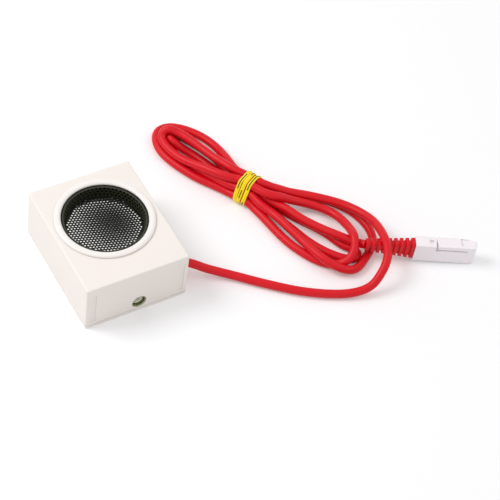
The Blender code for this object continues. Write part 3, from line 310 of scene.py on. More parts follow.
# the route, in metres: each stretch's name, its pass under the tie at its end (across, height, direction)
# and its points
cordRuns = [
    ("leadRun", (0.0033, 0.01062, 1), [
        (0.0273, -0.0216, 0.0094), (0.0310, -0.0220, 0.0092), (0.0356, -0.0244, 0.0079),
        (0.0406, -0.0273, 0.0056), (0.0469, -0.0310, 0.0036), (0.0530, -0.0354, 0.0026),
        (0.0643, -0.0455, 0.0024), (0.0779, -0.0566, 0.0024), (0.0905, -0.0643, 0.0024),
        (0.1020, -0.0690, 0.0031), (0.1112, -0.0702, 0.0054), (0.1155, -0.0687, 0.0092),
        (0.1201, -0.0661, 0.0123), (0.1237, -0.0617, 0.0142), (0.1265, -0.0550, 0.0146),
        (0.1289, -0.0459, 0.0126), (0.1301, -0.0368, 0.0098), (0.1287, -0.0288, 0.0076),
        (0.1256, -0.0222, 0.0066), (0.1216, -0.0172, 0.0064), (0.1153, -0.0114, 0.0064),
        (0.1082, -0.0060, 0.0068), (0.1004, -0.0015, 0.0078), (0.0937, 0.0036, 0.0094),
    ]),
    ("topLoopLeft", (-0.0011, 0.01062, -1), [
        (0.0817, 0.0194, 0.0109), (0.0797, 0.0222, 0.0108), (0.0782, 0.0268, 0.0107),
        (0.0762, 0.0310, 0.0105), (0.0748, 0.0353, 0.0103), (0.0735, 0.0398, 0.0100),
        (0.0722, 0.0439, 0.0097), (0.0708, 0.0482, 0.0093), (0.0694, 0.0523, 0.0090),
        (0.0675, 0.0562, 0.0087), (0.0653, 0.0591, 0.0084), (0.0628, 0.0603, 0.0080),
        (0.0604, 0.0591, 0.0077), (0.0589, 0.0566, 0.0074), (0.0584, 0.0531, 0.0072),
        (0.0590, 0.0484, 0.0069), (0.0603, 0.0439, 0.0068), (0.0623, 0.0396, 0.0068),
        (0.0654, 0.0355, 0.0068), (0.0679, 0.0323, 0.0068), (0.0704, 0.0290, 0.0068),
        (0.0728, 0.0256, 0.0069), (0.0752, 0.0223, 0.0072), (0.0771, 0.0191, 0.0079),
        (0.0788, 0.0162, 0.0092),
    ]),
    ("innerLoopRight", (-0.0055, 0.00300, 1), [
        (0.0890, 0.0009, 0.0088), (0.0946, -0.0026, 0.0072), (0.1009, -0.0060, 0.0058),
        (0.1063, -0.0094, 0.0050), (0.1109, -0.0132, 0.0046), (0.1148, -0.0182, 0.0048),
        (0.1173, -0.0238, 0.0056), (0.1177, -0.0310, 0.0074), (0.1168, -0.0381, 0.0098),
        (0.1148, -0.0446, 0.0116), (0.1128, -0.0490, 0.0112), (0.1105, -0.0514, 0.0092),
        (0.1081, -0.0521, 0.0064), (0.1051, -0.0511, 0.0038), (0.1014, -0.0492, 0.0024),
        (0.0973, -0.0461, 0.0024), (0.0939, -0.0416, 0.0024), (0.0911, -0.0363, 0.0024),
        (0.0886, -0.0305, 0.0024), (0.0867, -0.0242, 0.0024), (0.0853, -0.0165, 0.0024),
        (0.0843, -0.0095, 0.0024), (0.0831, -0.0025, 0.0024), (0.0819, 0.0033, 0.0026),
    ]),
    ("outerLoopLeft", (0.0055, 0.00681, -1), [
        (0.0751, 0.0150, 0.0026), (0.0727, 0.0187, 0.0024), (0.0695, 0.0236, 0.0024),
        (0.0671, 0.0270, 0.0024), (0.0647, 0.0309, 0.0024), (0.0626, 0.0345, 0.0024),
        (0.0606, 0.0386, 0.0024), (0.0589, 0.0426, 0.0024), (0.0576, 0.0469, 0.0024),
        (0.0567, 0.0512, 0.0024), (0.0565, 0.0554, 0.0024), (0.0574, 0.0593, 0.0024),
        (0.0589, 0.0631, 0.0024), (0.0615, 0.0658, 0.0024), (0.0649, 0.0666, 0.0024),
        (0.0691, 0.0656, 0.0024), (0.0730, 0.0628, 0.0024), (0.0762, 0.0597, 0.0024),
        (0.0790, 0.0560, 0.0024), (0.0818, 0.0515, 0.0024), (0.0840, 0.0455, 0.0024),
        (0.0852, 0.0396, 0.0026), (0.0853, 0.0346, 0.0028), (0.0846, 0.0301, 0.0034),
        (0.0843, 0.0254, 0.0046),
    ]),
    ("outerLoopRight", (-0.0033, 0.00681, 1), [
        (0.0977, 0.0063, 0.0044), (0.1033, 0.0016, 0.0032), (0.1095, -0.0031, 0.0026),
        (0.1152, -0.0074, 0.0024), (0.1206, -0.0125, 0.0024), (0.1251, -0.0184, 0.0024),
        (0.1281, -0.0243, 0.0024), (0.1295, -0.0300, 0.0024), (0.1300, -0.0354, 0.0024),
        (0.1292, -0.0404, 0.0024), (0.1272, -0.0449, 0.0024), (0.1233, -0.0485, 0.0024),
        (0.1187, -0.0513, 0.0024), (0.1147, -0.0538, 0.0024), (0.1115, -0.0560, 0.0026),
        (0.1077, -0.0567, 0.0036), (0.1036, -0.0558, 0.0052), (0.1003, -0.0536, 0.0066),
        (0.0979, -0.0503, 0.0069), (0.0963, -0.0463, 0.0068), (0.0948, -0.0414, 0.0066),
        (0.0939, -0.0341, 0.0054), (0.0926, -0.0264, 0.0048), (0.0912, -0.0200, 0.0048),
        (0.0897, -0.0136, 0.0048), (0.0880, -0.0081, 0.0050), (0.0848, -0.0022, 0.0056),
    ]),
    ("lowLoopLeft", (0.0033, 0.00300, -1), [
        (0.0770, 0.0160, 0.0052), (0.0753, 0.0217, 0.0032), (0.0727, 0.0266, 0.0025),
        (0.0699, 0.0313, 0.0024), (0.0670, 0.0359, 0.0024), (0.0649, 0.0409, 0.0024),
        (0.0631, 0.0456, 0.0024), (0.0620, 0.0501, 0.0024), (0.0617, 0.0547, 0.0024),
        (0.0623, 0.0586, 0.0024), (0.0640, 0.0610, 0.0024), (0.0665, 0.0620, 0.0024),
        (0.0687, 0.0605, 0.0024), (0.0705, 0.0574, 0.0024), (0.0730, 0.0536, 0.0024),
        (0.0754, 0.0494, 0.0024), (0.0777, 0.0442, 0.0024), (0.0796, 0.0388, 0.0024),
        (0.0810, 0.0334, 0.0024), (0.0817, 0.0292, 0.0024), (0.0823, 0.0244, 0.0024),
        (0.0830, 0.0192, 0.0027),
    ]),
    ("lowLoopRight", (-0.0011, 0.00300, 1), [
        (0.0907, 0.0012, 0.0028), (0.0944, -0.0065, 0.0026), (0.0982, -0.0138, 0.0024),
        (0.1017, -0.0192, 0.0024), (0.1056, -0.0252, 0.0024), (0.1090, -0.0320, 0.0024),
        (0.1113, -0.0392, 0.0024), (0.1141, -0.0431, 0.0024), (0.1166, -0.0455, 0.0024),
        (0.1164, -0.0485, 0.0024), (0.1134, -0.0504, 0.0024), (0.1103, -0.0495, 0.0024),
        (0.1072, -0.0468, 0.0024), (0.1043, -0.0436, 0.0024), (0.1011, -0.0391, 0.0024),
        (0.0976, -0.0325, 0.0024), (0.0955, -0.0267, 0.0024), (0.0937, -0.0208, 0.0024),
        (0.0918, -0.0151, 0.0024), (0.0902, -0.0077, 0.0024), (0.0888, 0.0004, 0.0026),
    ]),
    ("innerLoopLeft", (0.0011, 0.00681, -1), [
        (0.0802, 0.0171, 0.0026), (0.0794, 0.0214, 0.0024), (0.0779, 0.0265, 0.0024),
        (0.0759, 0.0311, 0.0024), (0.0741, 0.0354, 0.0024), (0.0726, 0.0395, 0.0024),
        (0.0710, 0.0435, 0.0024), (0.0692, 0.0471, 0.0024), (0.0673, 0.0507, 0.0025),
        (0.0657, 0.0537, 0.0027), (0.0645, 0.0566, 0.0032), (0.0641, 0.0590, 0.0040),
        (0.0652, 0.0603, 0.0050), (0.0672, 0.0593, 0.0058), (0.0689, 0.0559, 0.0063),
        (0.0708, 0.0509, 0.0066), (0.0732, 0.0464, 0.0067), (0.0750, 0.0419, 0.0068),
        (0.0772, 0.0360, 0.0068), (0.0791, 0.0305, 0.0068), (0.0798, 0.0260, 0.0066),
        (0.0802, 0.0212, 0.0062), (0.0811, 0.0171, 0.0066),
    ]),
    ("tailRun", None, [
        (0.0887, -0.0002, 0.0068), (0.0923, -0.0054, 0.0068), (0.0958, -0.0115, 0.0068),
        (0.0981, -0.0178, 0.0068), (0.1010, -0.0229, 0.0068), (0.1049, -0.0288, 0.0068),
        (0.1089, -0.0344, 0.0068), (0.1125, -0.0388, 0.0068), (0.1152, -0.0427, 0.0074),
        (0.1174, -0.0461, 0.0081), (0.1187, -0.0479, 0.0084), (0.1196, -0.0484, 0.0085),
    ]),
]


def routePoints():
    angle = math.radians(cord["tieAngle"])
    along = Vector((math.cos(angle), math.sin(angle)))
    across = Vector((-along.y, along.x))
    points, fixed = [], []
    for name, tiePass, stretch in cordRuns:
        held = {"leadRun": range(cord["fixedStart"]),
                "tailRun": range(len(stretch) - 2, len(stretch))}.get(name, ())
        points += stretch
        fixed += [i in held for i in range(len(stretch))]
        if tiePass:
            offset, height, way = tiePass
            for reach in (cord["tieHalf"] * way, 0.0, -cord["tieHalf"] * way):
                spot = Vector(cord["tieCentre"]) + across * offset + along * reach
                points.append((*spot, height))
                fixed.append(True)
    return np.array(points), np.array(fixed)


def evenLine(points, fixed, step):  # a smooth curve through the points, then points a step apart on it
    ends = np.vstack([2 * points[0] - points[1], points, 2 * points[-1] - points[-2]])
    knots = np.concatenate([[0.0], np.cumsum(np.sqrt(np.linalg.norm(np.diff(ends, axis=0), axis=1)))])
    fine, held = [], []
    for i in range(1, len(ends) - 2):
        a, b, c, d = ends[i - 1:i + 3]
        ta, tb, tc, td = knots[i - 1:i + 3]
        leave = ((b - a) / (tb - ta) - (c - a) / (tc - ta) + (c - b) / (tc - tb)) * (tc - tb)
        arrive = ((c - b) / (tc - tb) - (d - b) / (td - tb) + (d - c) / (td - tc)) * (tc - tb)
        for t in np.arange(cord["curveSteps"]) / cord["curveSteps"]:
            fine.append((2 * t**3 - 3 * t**2 + 1) * b + (t**3 - 2 * t**2 + t) * leave
                        + (3 * t**2 - 2 * t**3) * c + (t**3 - t**2) * arrive)
            held.append(fixed[i - 1] and fixed[i])
    fine, held = np.array(fine + [points[-1]]), np.array(held + [True])
    reach = np.concatenate([[0.0], np.cumsum(np.linalg.norm(np.diff(fine, axis=0), axis=1))])
    spots = np.linspace(0, reach[-1], int(round(reach[-1] / step)) + 1)
    line = np.stack([np.interp(spots, reach, fine[:, k]) for k in range(3)], 1)
    return line, held[np.searchsorted(reach, spots).clip(0, len(held) - 1)], spots


def layDown(line, fixed, spots):  # the runs sink onto each other and the floor, a diameter apart
    diameter, drawn, count = cord["diameter"], line.copy(), len(line)
    line, free = line.copy(), ~fixed
    rest = np.linalg.norm(np.diff(line, axis=0), axis=1)
    keepHeight = np.where(spots < cord["leadReach"], cord["leadHold"], cord["hankHold"])
    slope, sideShare = np.array(cord["sightSlope"]), np.array(cord["sideShare"])
    farA, farB = np.triu_indices(count, 4)
    sharpest = cord["step"] ** 2 / (2 * cord["tightest"])
    for turn in range(cord["rounds"]):
        line[free, 2] -= cord["sink"]
        aim = drawn[:, :2] + (line[:, 2:] - drawn[:, 2:]) * slope
        line[free, :2] += (aim - line[:, :2])[free] * cord["sightPull"]
        line[free, 2] += ((drawn[:, 2] - line[:, 2]) * keepHeight)[free]
        bend = np.zeros_like(line)
        bend[1:-1] = (line[:-2] + line[2:]) / 2 - line[1:-1]
        even = 2 * bend[1:-1] - (bend[:-2] + bend[2:]) / 2
        line[1:-1] += even * cord["evenPull"] * free[1:-1, None]
        excess = 1 - sharpest / np.maximum(np.linalg.norm(bend, axis=1), sharpest)
        push = bend * (excess * cord["openPull"])[:, None]
        spread = push.copy()
        spread[:-1] -= push[1:] / 2
        spread[1:] -= push[:-1] / 2
        line += spread * free[:, None]
        if turn % 10 == 0:
            near = np.linalg.norm(line[farA] - line[farB], axis=1) < diameter * 1.5
            a, b = farA[near], farB[near]
        for sweep in range(2):
            apart = line[a] - line[b]
            distance = np.linalg.norm(apart, axis=1)
            hit = distance < diameter * 0.99
            push = ((diameter - distance[hit]) / np.maximum(distance[hit], 1e-9))[:, None]
            push = push * apart[hit] * sideShare
            shareA, shareB = free[a[hit]] * 1.0, free[b[hit]] * 1.0
            total = np.maximum(shareA + shareB, 1e-9)
            move, hits = np.zeros_like(line), np.zeros(count)
            np.add.at(move, a[hit], push * (shareA / total)[:, None])
            np.add.at(move, b[hit], -push * (shareB / total)[:, None])
            np.add.at(hits, a[hit], shareA)
            np.add.at(hits, b[hit], shareB)
            line += move / np.maximum(hits, 1)[:, None]
        for first in (0, 1, 0, 1):
            i = np.arange(first, count - 1, 2)
            span = line[i + 1] - line[i]
            length = np.linalg.norm(span, axis=1)
            pull = ((length - rest[i]) / np.maximum(length, 1e-9))[:, None] * span * cord["stretchPull"]
            shareA, shareB = free[i] * 1.0, free[i + 1] * 1.0
            total = np.maximum(shareA + shareB, 1e-9)
            line[i] += pull * (shareA / total)[:, None]
            line[i + 1] -= pull * (shareB / total)[:, None]
        low = (line[:, 2] < cord["restHeight"]) & free
        line[low, 2] = cord["restHeight"]
    return line


def makeCord():
    points, fixed = routePoints()
    line = layDown(*evenLine(points, fixed, cord["step"]))
    curve = bpy.data.curves.new("freeCord", "CURVE")
    curve.dimensions = "3D"
    curve.bevel_depth = cord["diameter"] / 2
    curve.bevel_resolution = 5
    curve.resolution_u = 3
    curve.use_fill_caps = True
    spline = curve.splines.new("BEZIER")
    spline.bezier_points.add(len(line) - 1)
    for spot, point in zip(spline.bezier_points, line):
        spot.co = point
        spot.handle_left_type = spot.handle_right_type = "AUTO"
    curve.materials.append(finishes["cord_red"])
    piece = bpy.data.objects.new("freeCord", curve)
    scene.collection.objects.link(piece)
    keepPiece(piece, ("cord_lead", "cord_hank", "cord_tail"))
    print("cord laid")
    return piece


freeCord = makeCord()

twist = {
    "width": 0.00222, "thick": 0.00022, "ridge": 0.00030, "pitch": 0.00228, "layer": 0.00015,
    "step": 0.0005,
    "hull": [(-0.0055, 0.0030), (0.0033, 0.0030), (0.0055, 0.0068), (0.0033, 0.0106), (-0.0011, 0.0106)],
    "reach": 0.00245,  # from the middle of an outer strand to the middle of the ribbon
    "cornerPoints": 5, "columns": 10, "sway": 0.0003,
    "first": 11, "straight": 20, "last": 78,  # points on the outline, counted on from the first corner
    "tailSwing": 0.0034, "endSwing": 0.0016, "endPoints": 4, "swayTurns": 0.8,
    "ridgeWidth": 0.09, "edgeDip": 1.2,
    "stripe": 0.1, "breakScale": 13.0, "breakShare": 0.50, "mark": (30, 26, 4),
    # painted shade: from this share across, the edges, where the wraps crease against each other, mix
    # towards a darker orange
    "creaseShadeFrom": 0.42, "creaseShadeShare": 0.8, "creaseShade": (226, 140, 10),
}


def hullOutline():  # the rounded outline round the strands that the ribbon follows
    corners = [Vector(corner) for corner in twist["hull"]]
    outline = []
    for k, here in enumerate(corners):
        enter, leave = here - corners[k - 1], corners[(k + 1) % len(corners)] - here
        start = math.atan2(enter.y, enter.x) - math.pi / 2
        swing = (math.atan2(leave.y, leave.x) - math.pi / 2 - start) % math.tau
        for i in range(twist["cornerPoints"]):
            angle = start + swing * i / (twist["cornerPoints"] - 1)
            outline.append((here, Vector((math.cos(angle), math.sin(angle)))))
    return outline


def makeTwistTie():
    angle = math.radians(cord["tieAngle"])
    along = Vector((math.cos(angle), math.sin(angle), 0))
    side = Vector((-along.y, along.x, 0))
    outline = hullOutline()
    spots = []
    for k in range(twist["first"], twist["last"] + 1):
        corner, out = outline[k % len(outline)]
        turn = (k - twist["straight"]) / len(outline)
        place = corner + out * (twist["reach"] + twist["layer"] * max(turn, 0))
        tail = max(twist["straight"] - k, 0) / (twist["straight"] - twist["first"])
        end = max(k - twist["last"] + twist["endPoints"], 0) / twist["endPoints"]
        sway = twist["sway"] * math.sin(math.tau * turn * twist["swayTurns"])
        shift = twist["pitch"] * (1 - turn) + sway
        shift += twist["tailSwing"] * tail ** 1.5 + twist["endSwing"] * end
        flat = Vector(cord["tieCentre"]).to_3d() + side * place.x + along * shift
        spots.append((flat.x, flat.y, max(place.y, twist["ridge"] + twist["thick"])))
    line, _, _ = evenLine(np.array(spots), np.zeros(len(spots), bool), twist["step"])
    rows = len(line)
    bm = bmesh.new()
    bm.loops.layers.uv.new("UVMap")
    bmesh.ops.create_grid(bm, x_segments=rows - 1, y_segments=twist["columns"], size=0.5, calc_uvs=True)
    for vert in bm.verts:
        row = int(round((vert.co.x + 0.5) * (rows - 1)))
        across = vert.co.y
        tangent = Vector(line[min(row + 1, rows - 1)] - line[max(row - 1, 0)]).normalized()
        wide = (along - tangent * along.dot(tangent)).normalized()
        lift = twist["ridge"] * math.exp(-(across / twist["ridgeWidth"]) ** 2)
        lift -= twist["thick"] * (2 * across) ** 4 * twist["edgeDip"]
        vert.co = Vector(line[row]) + wide * across * twist["width"] + tangent.cross(wide) * lift
    piece = addMesh("twistTie", bm, "tie_yellow", ("twist_tie",), 60, outward=False)
    thickness = piece.modifiers.new("thickness", "SOLIDIFY")
    thickness.thickness = twist["thick"]
    thickness.offset = 0.0


def markTie():  # a dark broken line runs down the middle of the paper ribbon, over its wire, and painted shade darkens the ribbon's edges where the wraps meet
    tree = finishes["tie_yellow"].node_tree
    shader = tree.nodes["Principled BSDF"]
    parts = tree.nodes.new("ShaderNodeSeparateXYZ")
    tree.links.new(tree.nodes.new("ShaderNodeTexCoord").outputs["UV"], parts.inputs[0])
    fromMiddle = mathNode(tree, "ABSOLUTE", mathNode(tree, "SUBTRACT", parts.outputs["Y"], 0.5))
    stripe = mathNode(tree, "LESS_THAN", fromMiddle, twist["stripe"])
    reach = tree.nodes.new("ShaderNodeCombineXYZ")
    tree.links.new(parts.outputs["X"], reach.inputs["X"])
    along = noiseNode(tree, reach.outputs[0], twist["breakScale"], 1.0)
    breaks = mathNode(tree, "GREATER_THAN", along, twist["breakShare"])
    skinColour = shader.inputs["Base Color"].links[0].from_socket
    # painted shade in the creases between wraps, laid along the ribbon's edges
    edge = mathNode(tree, "GREATER_THAN", fromMiddle, twist["creaseShadeFrom"])
    creaseShaded = mixColour(tree, mathNode(tree, "MULTIPLY", edge, twist["creaseShadeShare"]), skinColour,
                        linear(*twist["creaseShade"]))
    line = mathNode(tree, "MULTIPLY", stripe, breaks)
    marked = mixColour(tree, line, creaseShaded, linear(*twist["mark"]))
    tree.links.new(marked, shader.inputs["Base Color"])


makeTwistTie()
markTie()
print("twist tie made")


def makeHousing():
    copyNode("top_housing")
    copyNode("base_plate")
    copyNode("cord_grommet")


ringLow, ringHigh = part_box("bezel_ring")
eye = {
    "y": (ringLow[1] + ringHigh[1]) / 2,
    "topFace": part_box("top_housing")[1][2],
    "ringTop": ringHigh[2],
    "ringOuter": (ringHigh[0] - ringLow[0]) / 2,
}
bezel = {
    "width": 0.00345, "crown": 0.0011, "crownPoints": 21, "crownPower": 0.85, "seatGap": 0.0003,
    "spigotDepth": 0.0013, "spigotGap": 0.0005, "spigotWall": 0.0017, "segments": 144,
}


def makeBezel():
    outer = eye["ringOuter"]
    inner, half = outer - bezel["width"], bezel["width"] / 2
    seat, shoulder = eye["topFace"] + bezel["seatGap"], eye["ringTop"] - bezel["crown"]
    crown = [(inner + half + half * math.cos(angle),
              shoulder + bezel["crown"] * math.sin(angle) ** bezel["crownPower"])
             for angle in np.linspace(0, math.pi, bezel["crownPoints"])]
    low, ledge = eye["topFace"] - bezel["spigotDepth"], seat + bezel["seatGap"]
    spigotIn = inner + bezel["spigotGap"]
    spigotOut = spigotIn + bezel["spigotWall"]
    profile = [(outer, seat), *crown, (inner, ledge), (spigotIn, ledge), (spigotIn, low),
               (spigotOut, low), (spigotOut, seat)]
    ring = spinProfile(profile, bezel["segments"], place=Matrix.Translation((0, eye["y"], 0)))
    addMesh("bezelRing", ring, "bezel", ("bezel_ring",), 50)


insertLow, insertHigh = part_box("threaded_insert")
insert = {
    "x": (insertLow[0] + insertHigh[0]) / 2, "height": (insertLow[2] + insertHigh[2]) / 2,
    "front": insertLow[1], "length": insertHigh[1] - insertLow[1],
    "outer": (insertHigh[0] - insertLow[0]) / 2,
    "rootRadius": 0.00303, "crestRadius": 0.00258, "thread": 0.00090, "lead": 0.0016, "mouth": 0.0001,
    "crest": (0.42, 0.52, 0.92),  # shares of the pitch at which the crest starts, ends and has sunk
    "groove": 0.0004, "grooveAt": (0.6, 0.56, 0.44, 0.4), "segments": 64,
    "bright": (214, 214, 202), "paintedShineFrom": 0.0018,  # painted highlight: past this depth the thread is painted lighter than the mouth, for its shine
}


def makeInsert():  # a ribbed bush with a thread in its bore, its axis along Y
    root, crest, depth = insert["rootRadius"], insert["crestRadius"], insert["lead"]
    profile = [(root + insert["mouth"], 0.0), (root, -insert["mouth"])]
    while depth + insert["thread"] < insert["length"]:
        rise, fall, back = (-depth - insert["thread"] * share for share in insert["crest"])
        profile += [(root, -depth), (crest, rise), (crest, fall), (root, back)]
        depth += insert["thread"]
    end, outer, groove = -insert["length"], insert["outer"], insert["groove"]
    radii = (outer, outer - groove, outer - groove, outer)
    profile += [(crest, end), (outer, end)]
    profile += [(radius, end * at) for radius, at in zip(radii, insert["grooveAt"])]
    profile += [(outer, -groove / 4), (outer - groove / 4, 0)]
    place = Matrix.Translation((insert["x"], insert["front"], insert["height"]))
    bush = spinProfile(profile, insert["segments"], place=place @ Matrix.Rotation(math.pi / 2, 4, "X"))
    addMesh("rodInsert", bush, "insert_brass", ("threaded_insert",), 30)
    tree = finishes["insert_brass"].node_tree
    baseColour = tree.nodes["Principled BSDF"].inputs["Base Color"]
    parts = tree.nodes.new("ShaderNodeSeparateXYZ")
    tree.links.new(tree.nodes.new("ShaderNodeTexCoord").outputs["Object"], parts.inputs[0])
    # painted highlight: the bore past the mouth takes a lighter colour that stands in for the thread's
    # shine
    deep = mathNode(tree, "GREATER_THAN", parts.outputs["Y"], insert["front"] + insert["paintedShineFrom"])
    mixed = mixColour(tree, deep, baseColour.links[0].from_socket, linear(*insert["bright"]))
    tree.links.new(mixed, baseColour)


screw = {
    "flat": 0.9, "shank": 0.52, "cone": 0.48,  # shares of the head's radius
    "edge": 0.0001, "recessWidth": 0.0005, "recessReach": 0.0016, "recessDepth": 0.0009,
    "firstTurn": 25, "nextTurn": 31, "segments": 40,
}


def makeBaseScrews():  # countersunk heads in the underside, with cross recesses turned each its own way
    for i in range(1, 5):
        low, high = (Vector(corner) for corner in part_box("base_screw_%d" % i))
        middle, head = (low + high) / 2, (high.x - low.x) / 2
        shank, cone = head * screw["shank"], head * screw["cone"]
        profile = [(0, low.z), (head * screw["flat"], low.z), (head, low.z + screw["edge"]),
                   (shank, low.z + cone), (shank, high.z - shank), (0, high.z)]
        place = Matrix.Translation((middle.x, middle.y, 0))
        turned = spinProfile(profile, screw["segments"], closed=False, place=place)
        piece = addMesh("baseScrew%d" % i, turned, "zinc_steel", ("base_screw_%d" % i,), 30)
        for quarter in (0, 1):
            slot = bmesh.new()
            size = (2 * screw["recessReach"], screw["recessWidth"], 2 * screw["recessDepth"], 1.0)
            bmesh.ops.create_cube(slot, size=1.0, matrix=Matrix.Diagonal(size))
            angle = math.radians(screw["firstTurn"] + screw["nextTurn"] * i + 90 * quarter)
            seat = Matrix.Translation((middle.x, middle.y, low.z)) @ Matrix.Rotation(angle, 4, "Z")
            bmesh.ops.transform(slot, matrix=seat, verts=slot.verts)
            carve(piece, slot)


makeHousing()
makeBezel()
makeInsert()
makeBaseScrews()
print("housing, ring, insert and screws made")

coverHigh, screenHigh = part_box("transducer_cover")[1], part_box("transducer_screen")[1]
cover = {
    "outer": coverHigh[0], "rimTop": coverHigh[2],
    "screenRadius": screenHigh[0], "screenTop": screenHigh[2],
    "rimWidth": 0.0018, "rimPoints": 9, "sheet": 0.0003, "seatDrop": 0.0008, "seatWidth": 0.0009,
    "skirt": 0.0100, "edgeGap": 0.0003, "segments": 120,
    "screenSheet": 0.00014, "screenEdge": 0.3, "pitch": 0.00160, "hole": 0.00049, "holeSides": 12,
    "border": 0.0003, "turn": -16.5,
    "wallRows": 3, "wallPitch": 0.0020, "wallHole": 0.00078, "wallSides": 10, "wallFoot": 0.0010,
}


def makeScreen():
    radius, top, sheet = cover["screenRadius"], cover["screenTop"], cover["screenSheet"]
    place = Matrix.Translation((0, eye["y"], 0))
    low, edge = top - sheet, sheet * cover["screenEdge"]
    disc = spinProfile([(0, low), (radius, low), (radius, top - edge), (radius - edge, top), (0, top)],
                       cover["segments"], closed=False, place=place)
    screen = addMesh("perforatedScreen", disc, "black_cover", ("transducer_screen",), 30)
    punches = bmesh.new()
    field, pitch = radius - cover["border"] - cover["hole"], cover["pitch"]
    turn = Matrix.Rotation(math.radians(cover["turn"]), 3, "Z")
    rows = int(field / (pitch * math.sqrt(0.75))) + 1
    for row in range(-rows, rows + 1):
        for column in range(-rows - 2, rows + 3):
            spot = turn @ Vector(((column + (row % 2) / 2) * pitch, row * pitch * math.sqrt(0.75), 0))
            if spot.length <= field:
                start = (spot.x, spot.y + eye["y"], low - sheet)
                addRod(punches, cover["hole"], start, (*start[:2], top + sheet), cover["holeSides"])
    carve(screen, punches)


def makeDish():
    sheet, rim, outer = cover["sheet"], cover["rimTop"], cover["outer"]
    mouth, foot = outer - cover["rimWidth"], cover["screenRadius"] + cover["edgeGap"]
    seat, low = cover["screenTop"] - cover["seatDrop"], rim - cover["skirt"]
    roll = (outer - mouth) / 2
    rolled = [(outer - roll + roll * math.cos(angle), rim - sheet * (1 - math.sin(angle)))
              for angle in np.linspace(0, math.pi, cover["rimPoints"])]
    profile = [(outer, low), *rolled, (foot, seat), (foot - cover["seatWidth"], seat),
               (foot - cover["seatWidth"], seat - sheet), (foot + sheet, seat - sheet),
               (mouth + sheet, rim - sheet * 2), (outer - sheet, rim - sheet * 2), (outer - sheet, low)]
    place = Matrix.Translation((0, eye["y"], 0))
    turned = spinProfile(profile, cover["segments"], place=place)
    dish = addMesh("perforatedDish", turned, "black_cover", ("transducer_cover",), 30)
    dish.data.materials[0] = finishes["dish_wall"]
    punches = bmesh.new()
    count = int(round(math.tau * (mouth + foot) / 2 / cover["wallPitch"]))
    rise = cover["wallPitch"] * math.sqrt(0.75)
    start = cover["screenTop"] + cover["wallFoot"]
    for row in range(cover["wallRows"]):
        height = start + row * rise
        for i in range(count):
            angle = (i + (row % 2) / 2) * math.tau / count
            way = Vector((math.cos(angle), math.sin(angle), 0))
            centre = Vector((0, eye["y"], height))
            inside, outside = centre + way * (foot - 2 * sheet), centre + way * (mouth + 2 * sheet)
            addRod(punches, cover["wallHole"], inside, outside, cover["wallSides"])
    carve(dish, punches)
    dish.data.materials.append(finishes["black_cover"])  # the skirt behind the wall lies in the dark
    for face in dish.data.polygons:
        if math.hypot(face.center.x, face.center.y - eye["y"]) > outer - 2.5 * sheet:
            face.material_index = len(dish.data.materials) - 1


film = {
    "radius": 0.0185, "rimGap": 0.00003, "sink": 0.00028, "thick": 0.0002,
    "slack": 1.1, "slackWay": (0.94, 0.34), "leastSlack": 0.15,
    "rings": 90, "sectors": 96,
}


def makeFilm():  # a thin bright sheet close behind the screen, drawn in, and slacker towards one side
    radius, start = film["radius"], cover["screenTop"] - cover["screenSheet"] - film["rimGap"]
    spread = [(radius * i / film["rings"], start) for i in range(film["rings"], -1, -1)]
    sheet = spinProfile(spread, film["sectors"], closed=False)
    for vert in sheet.verts:
        x, y = vert.co.x / radius, vert.co.y / radius
        slack = 1 + film["slack"] * (x * film["slackWay"][0] + y * film["slackWay"][1])
        vert.co.z -= film["sink"] * (1 - x * x - y * y) * max(slack, film["leastSlack"])
    bmesh.ops.translate(sheet, vec=(0, eye["y"], 0), verts=sheet.verts)
    piece = addMesh("silverFilm", sheet, "foil", ("foil_diaphragm",), 40)
    body = piece.modifiers.new("thickness", "SOLIDIFY")
    body.thickness = film["thick"]
    body.offset = -1.0


makeScreen()
makeDish()
makeFilm()
print("cover and film made")

copyNode("plug_body")
copyNode("plug_boot")
print("plug made")


def dressNodes():
    for name, node in nodes.items():
        node.data.materials.clear()
        node.data.materials.append(finishes[slotOf[name]])


dressNodes()

onCord = ["plug_bodyDressed", "plug_bootDressed", "twistTie"]
onCord += ["plug_contact_%d" % i for i in range(1, 7)]

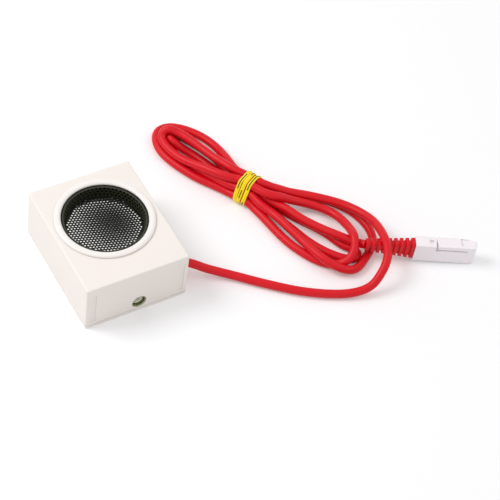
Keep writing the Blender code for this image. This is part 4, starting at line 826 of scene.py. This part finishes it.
studio = {
    "floorSize": 6.0, "floorColour": (0.86, 0.86, 0.87, 1.0), "floorGlow": 0.16, "skyStrength": 0.64,
    "aim": (0.04, 0.0, 0.0),
    "lamps": [  # name, place, size, watts
        ("keyLamp", (-0.6, 0.42, 0.9), 0.6, 5.9),
        ("fillLamp", (0.7, -0.5, 1.0), 0.9, 1.7),
    ],
}


def seenShare(tree):  # 1 where the floor or sky is looked at, and 0 where it only lights the pieces
    rays = tree.nodes.new("ShaderNodeLightPath").outputs
    mirrored = mathNode(tree, "MAXIMUM", rays["Is Glossy Ray"], rays["Is Transmission Ray"])
    return mathNode(tree, "MAXIMUM", rays["Is Camera Ray"], mirrored)


def makeFloor():
    floor = bpy.data.materials.new("paleFloor")
    floor.use_nodes = True
    tree = floor.node_tree
    shader = tree.nodes["Principled BSDF"]
    shader.inputs["Base Color"].default_value = studio["floorColour"]
    shader.inputs["Roughness"].default_value = 0.9
    shader.inputs["Specular IOR Level"].default_value = 0.1
    glow = mathNode(tree, "MULTIPLY", seenShare(tree), studio["floorGlow"])
    tree.links.new(glow, shader.inputs["Emission Strength"])
    shader.inputs["Emission Color"].default_value = (1, 1, 1, 1)
    bm = bmesh.new()
    bmesh.ops.create_grid(bm, x_segments=1, y_segments=1, size=studio["floorSize"] / 2)
    mesh = bpy.data.meshes.new("floor")
    bm.to_mesh(mesh)
    bm.free()
    mesh.materials.append(floor)
    ground = bpy.data.objects.new("floor", mesh)
    scene.collection.objects.link(ground)


def makeSky():
    world = bpy.data.worlds.new("studioSky")
    world.use_nodes = True
    scene.world = world
    tree = world.node_tree
    sky = tree.nodes["Background"]
    sky.inputs["Color"].default_value = (1, 1, 1, 1)
    dim = studio["skyStrength"]
    strength = mathNode(tree, "MULTIPLY_ADD", seenShare(tree), 1.0 - dim, dim)
    tree.links.new(strength, sky.inputs["Strength"])


def makeLamps():
    for name, place, size, watts in studio["lamps"]:
        lamp = bpy.data.lights.new(name, "AREA")
        lamp.shape = "DISK"
        lamp.size = size
        lamp.energy = watts
        holder = bpy.data.objects.new(name, lamp)
        turn = (Vector(studio["aim"]) - Vector(place)).to_track_quat("-Z", "Y").to_matrix().to_4x4()
        holder.matrix_world = Matrix.Translation(place) @ turn
        scene.collection.objects.link(holder)


makeFloor()
makeSky()
makeLamps()
print("studio lit")
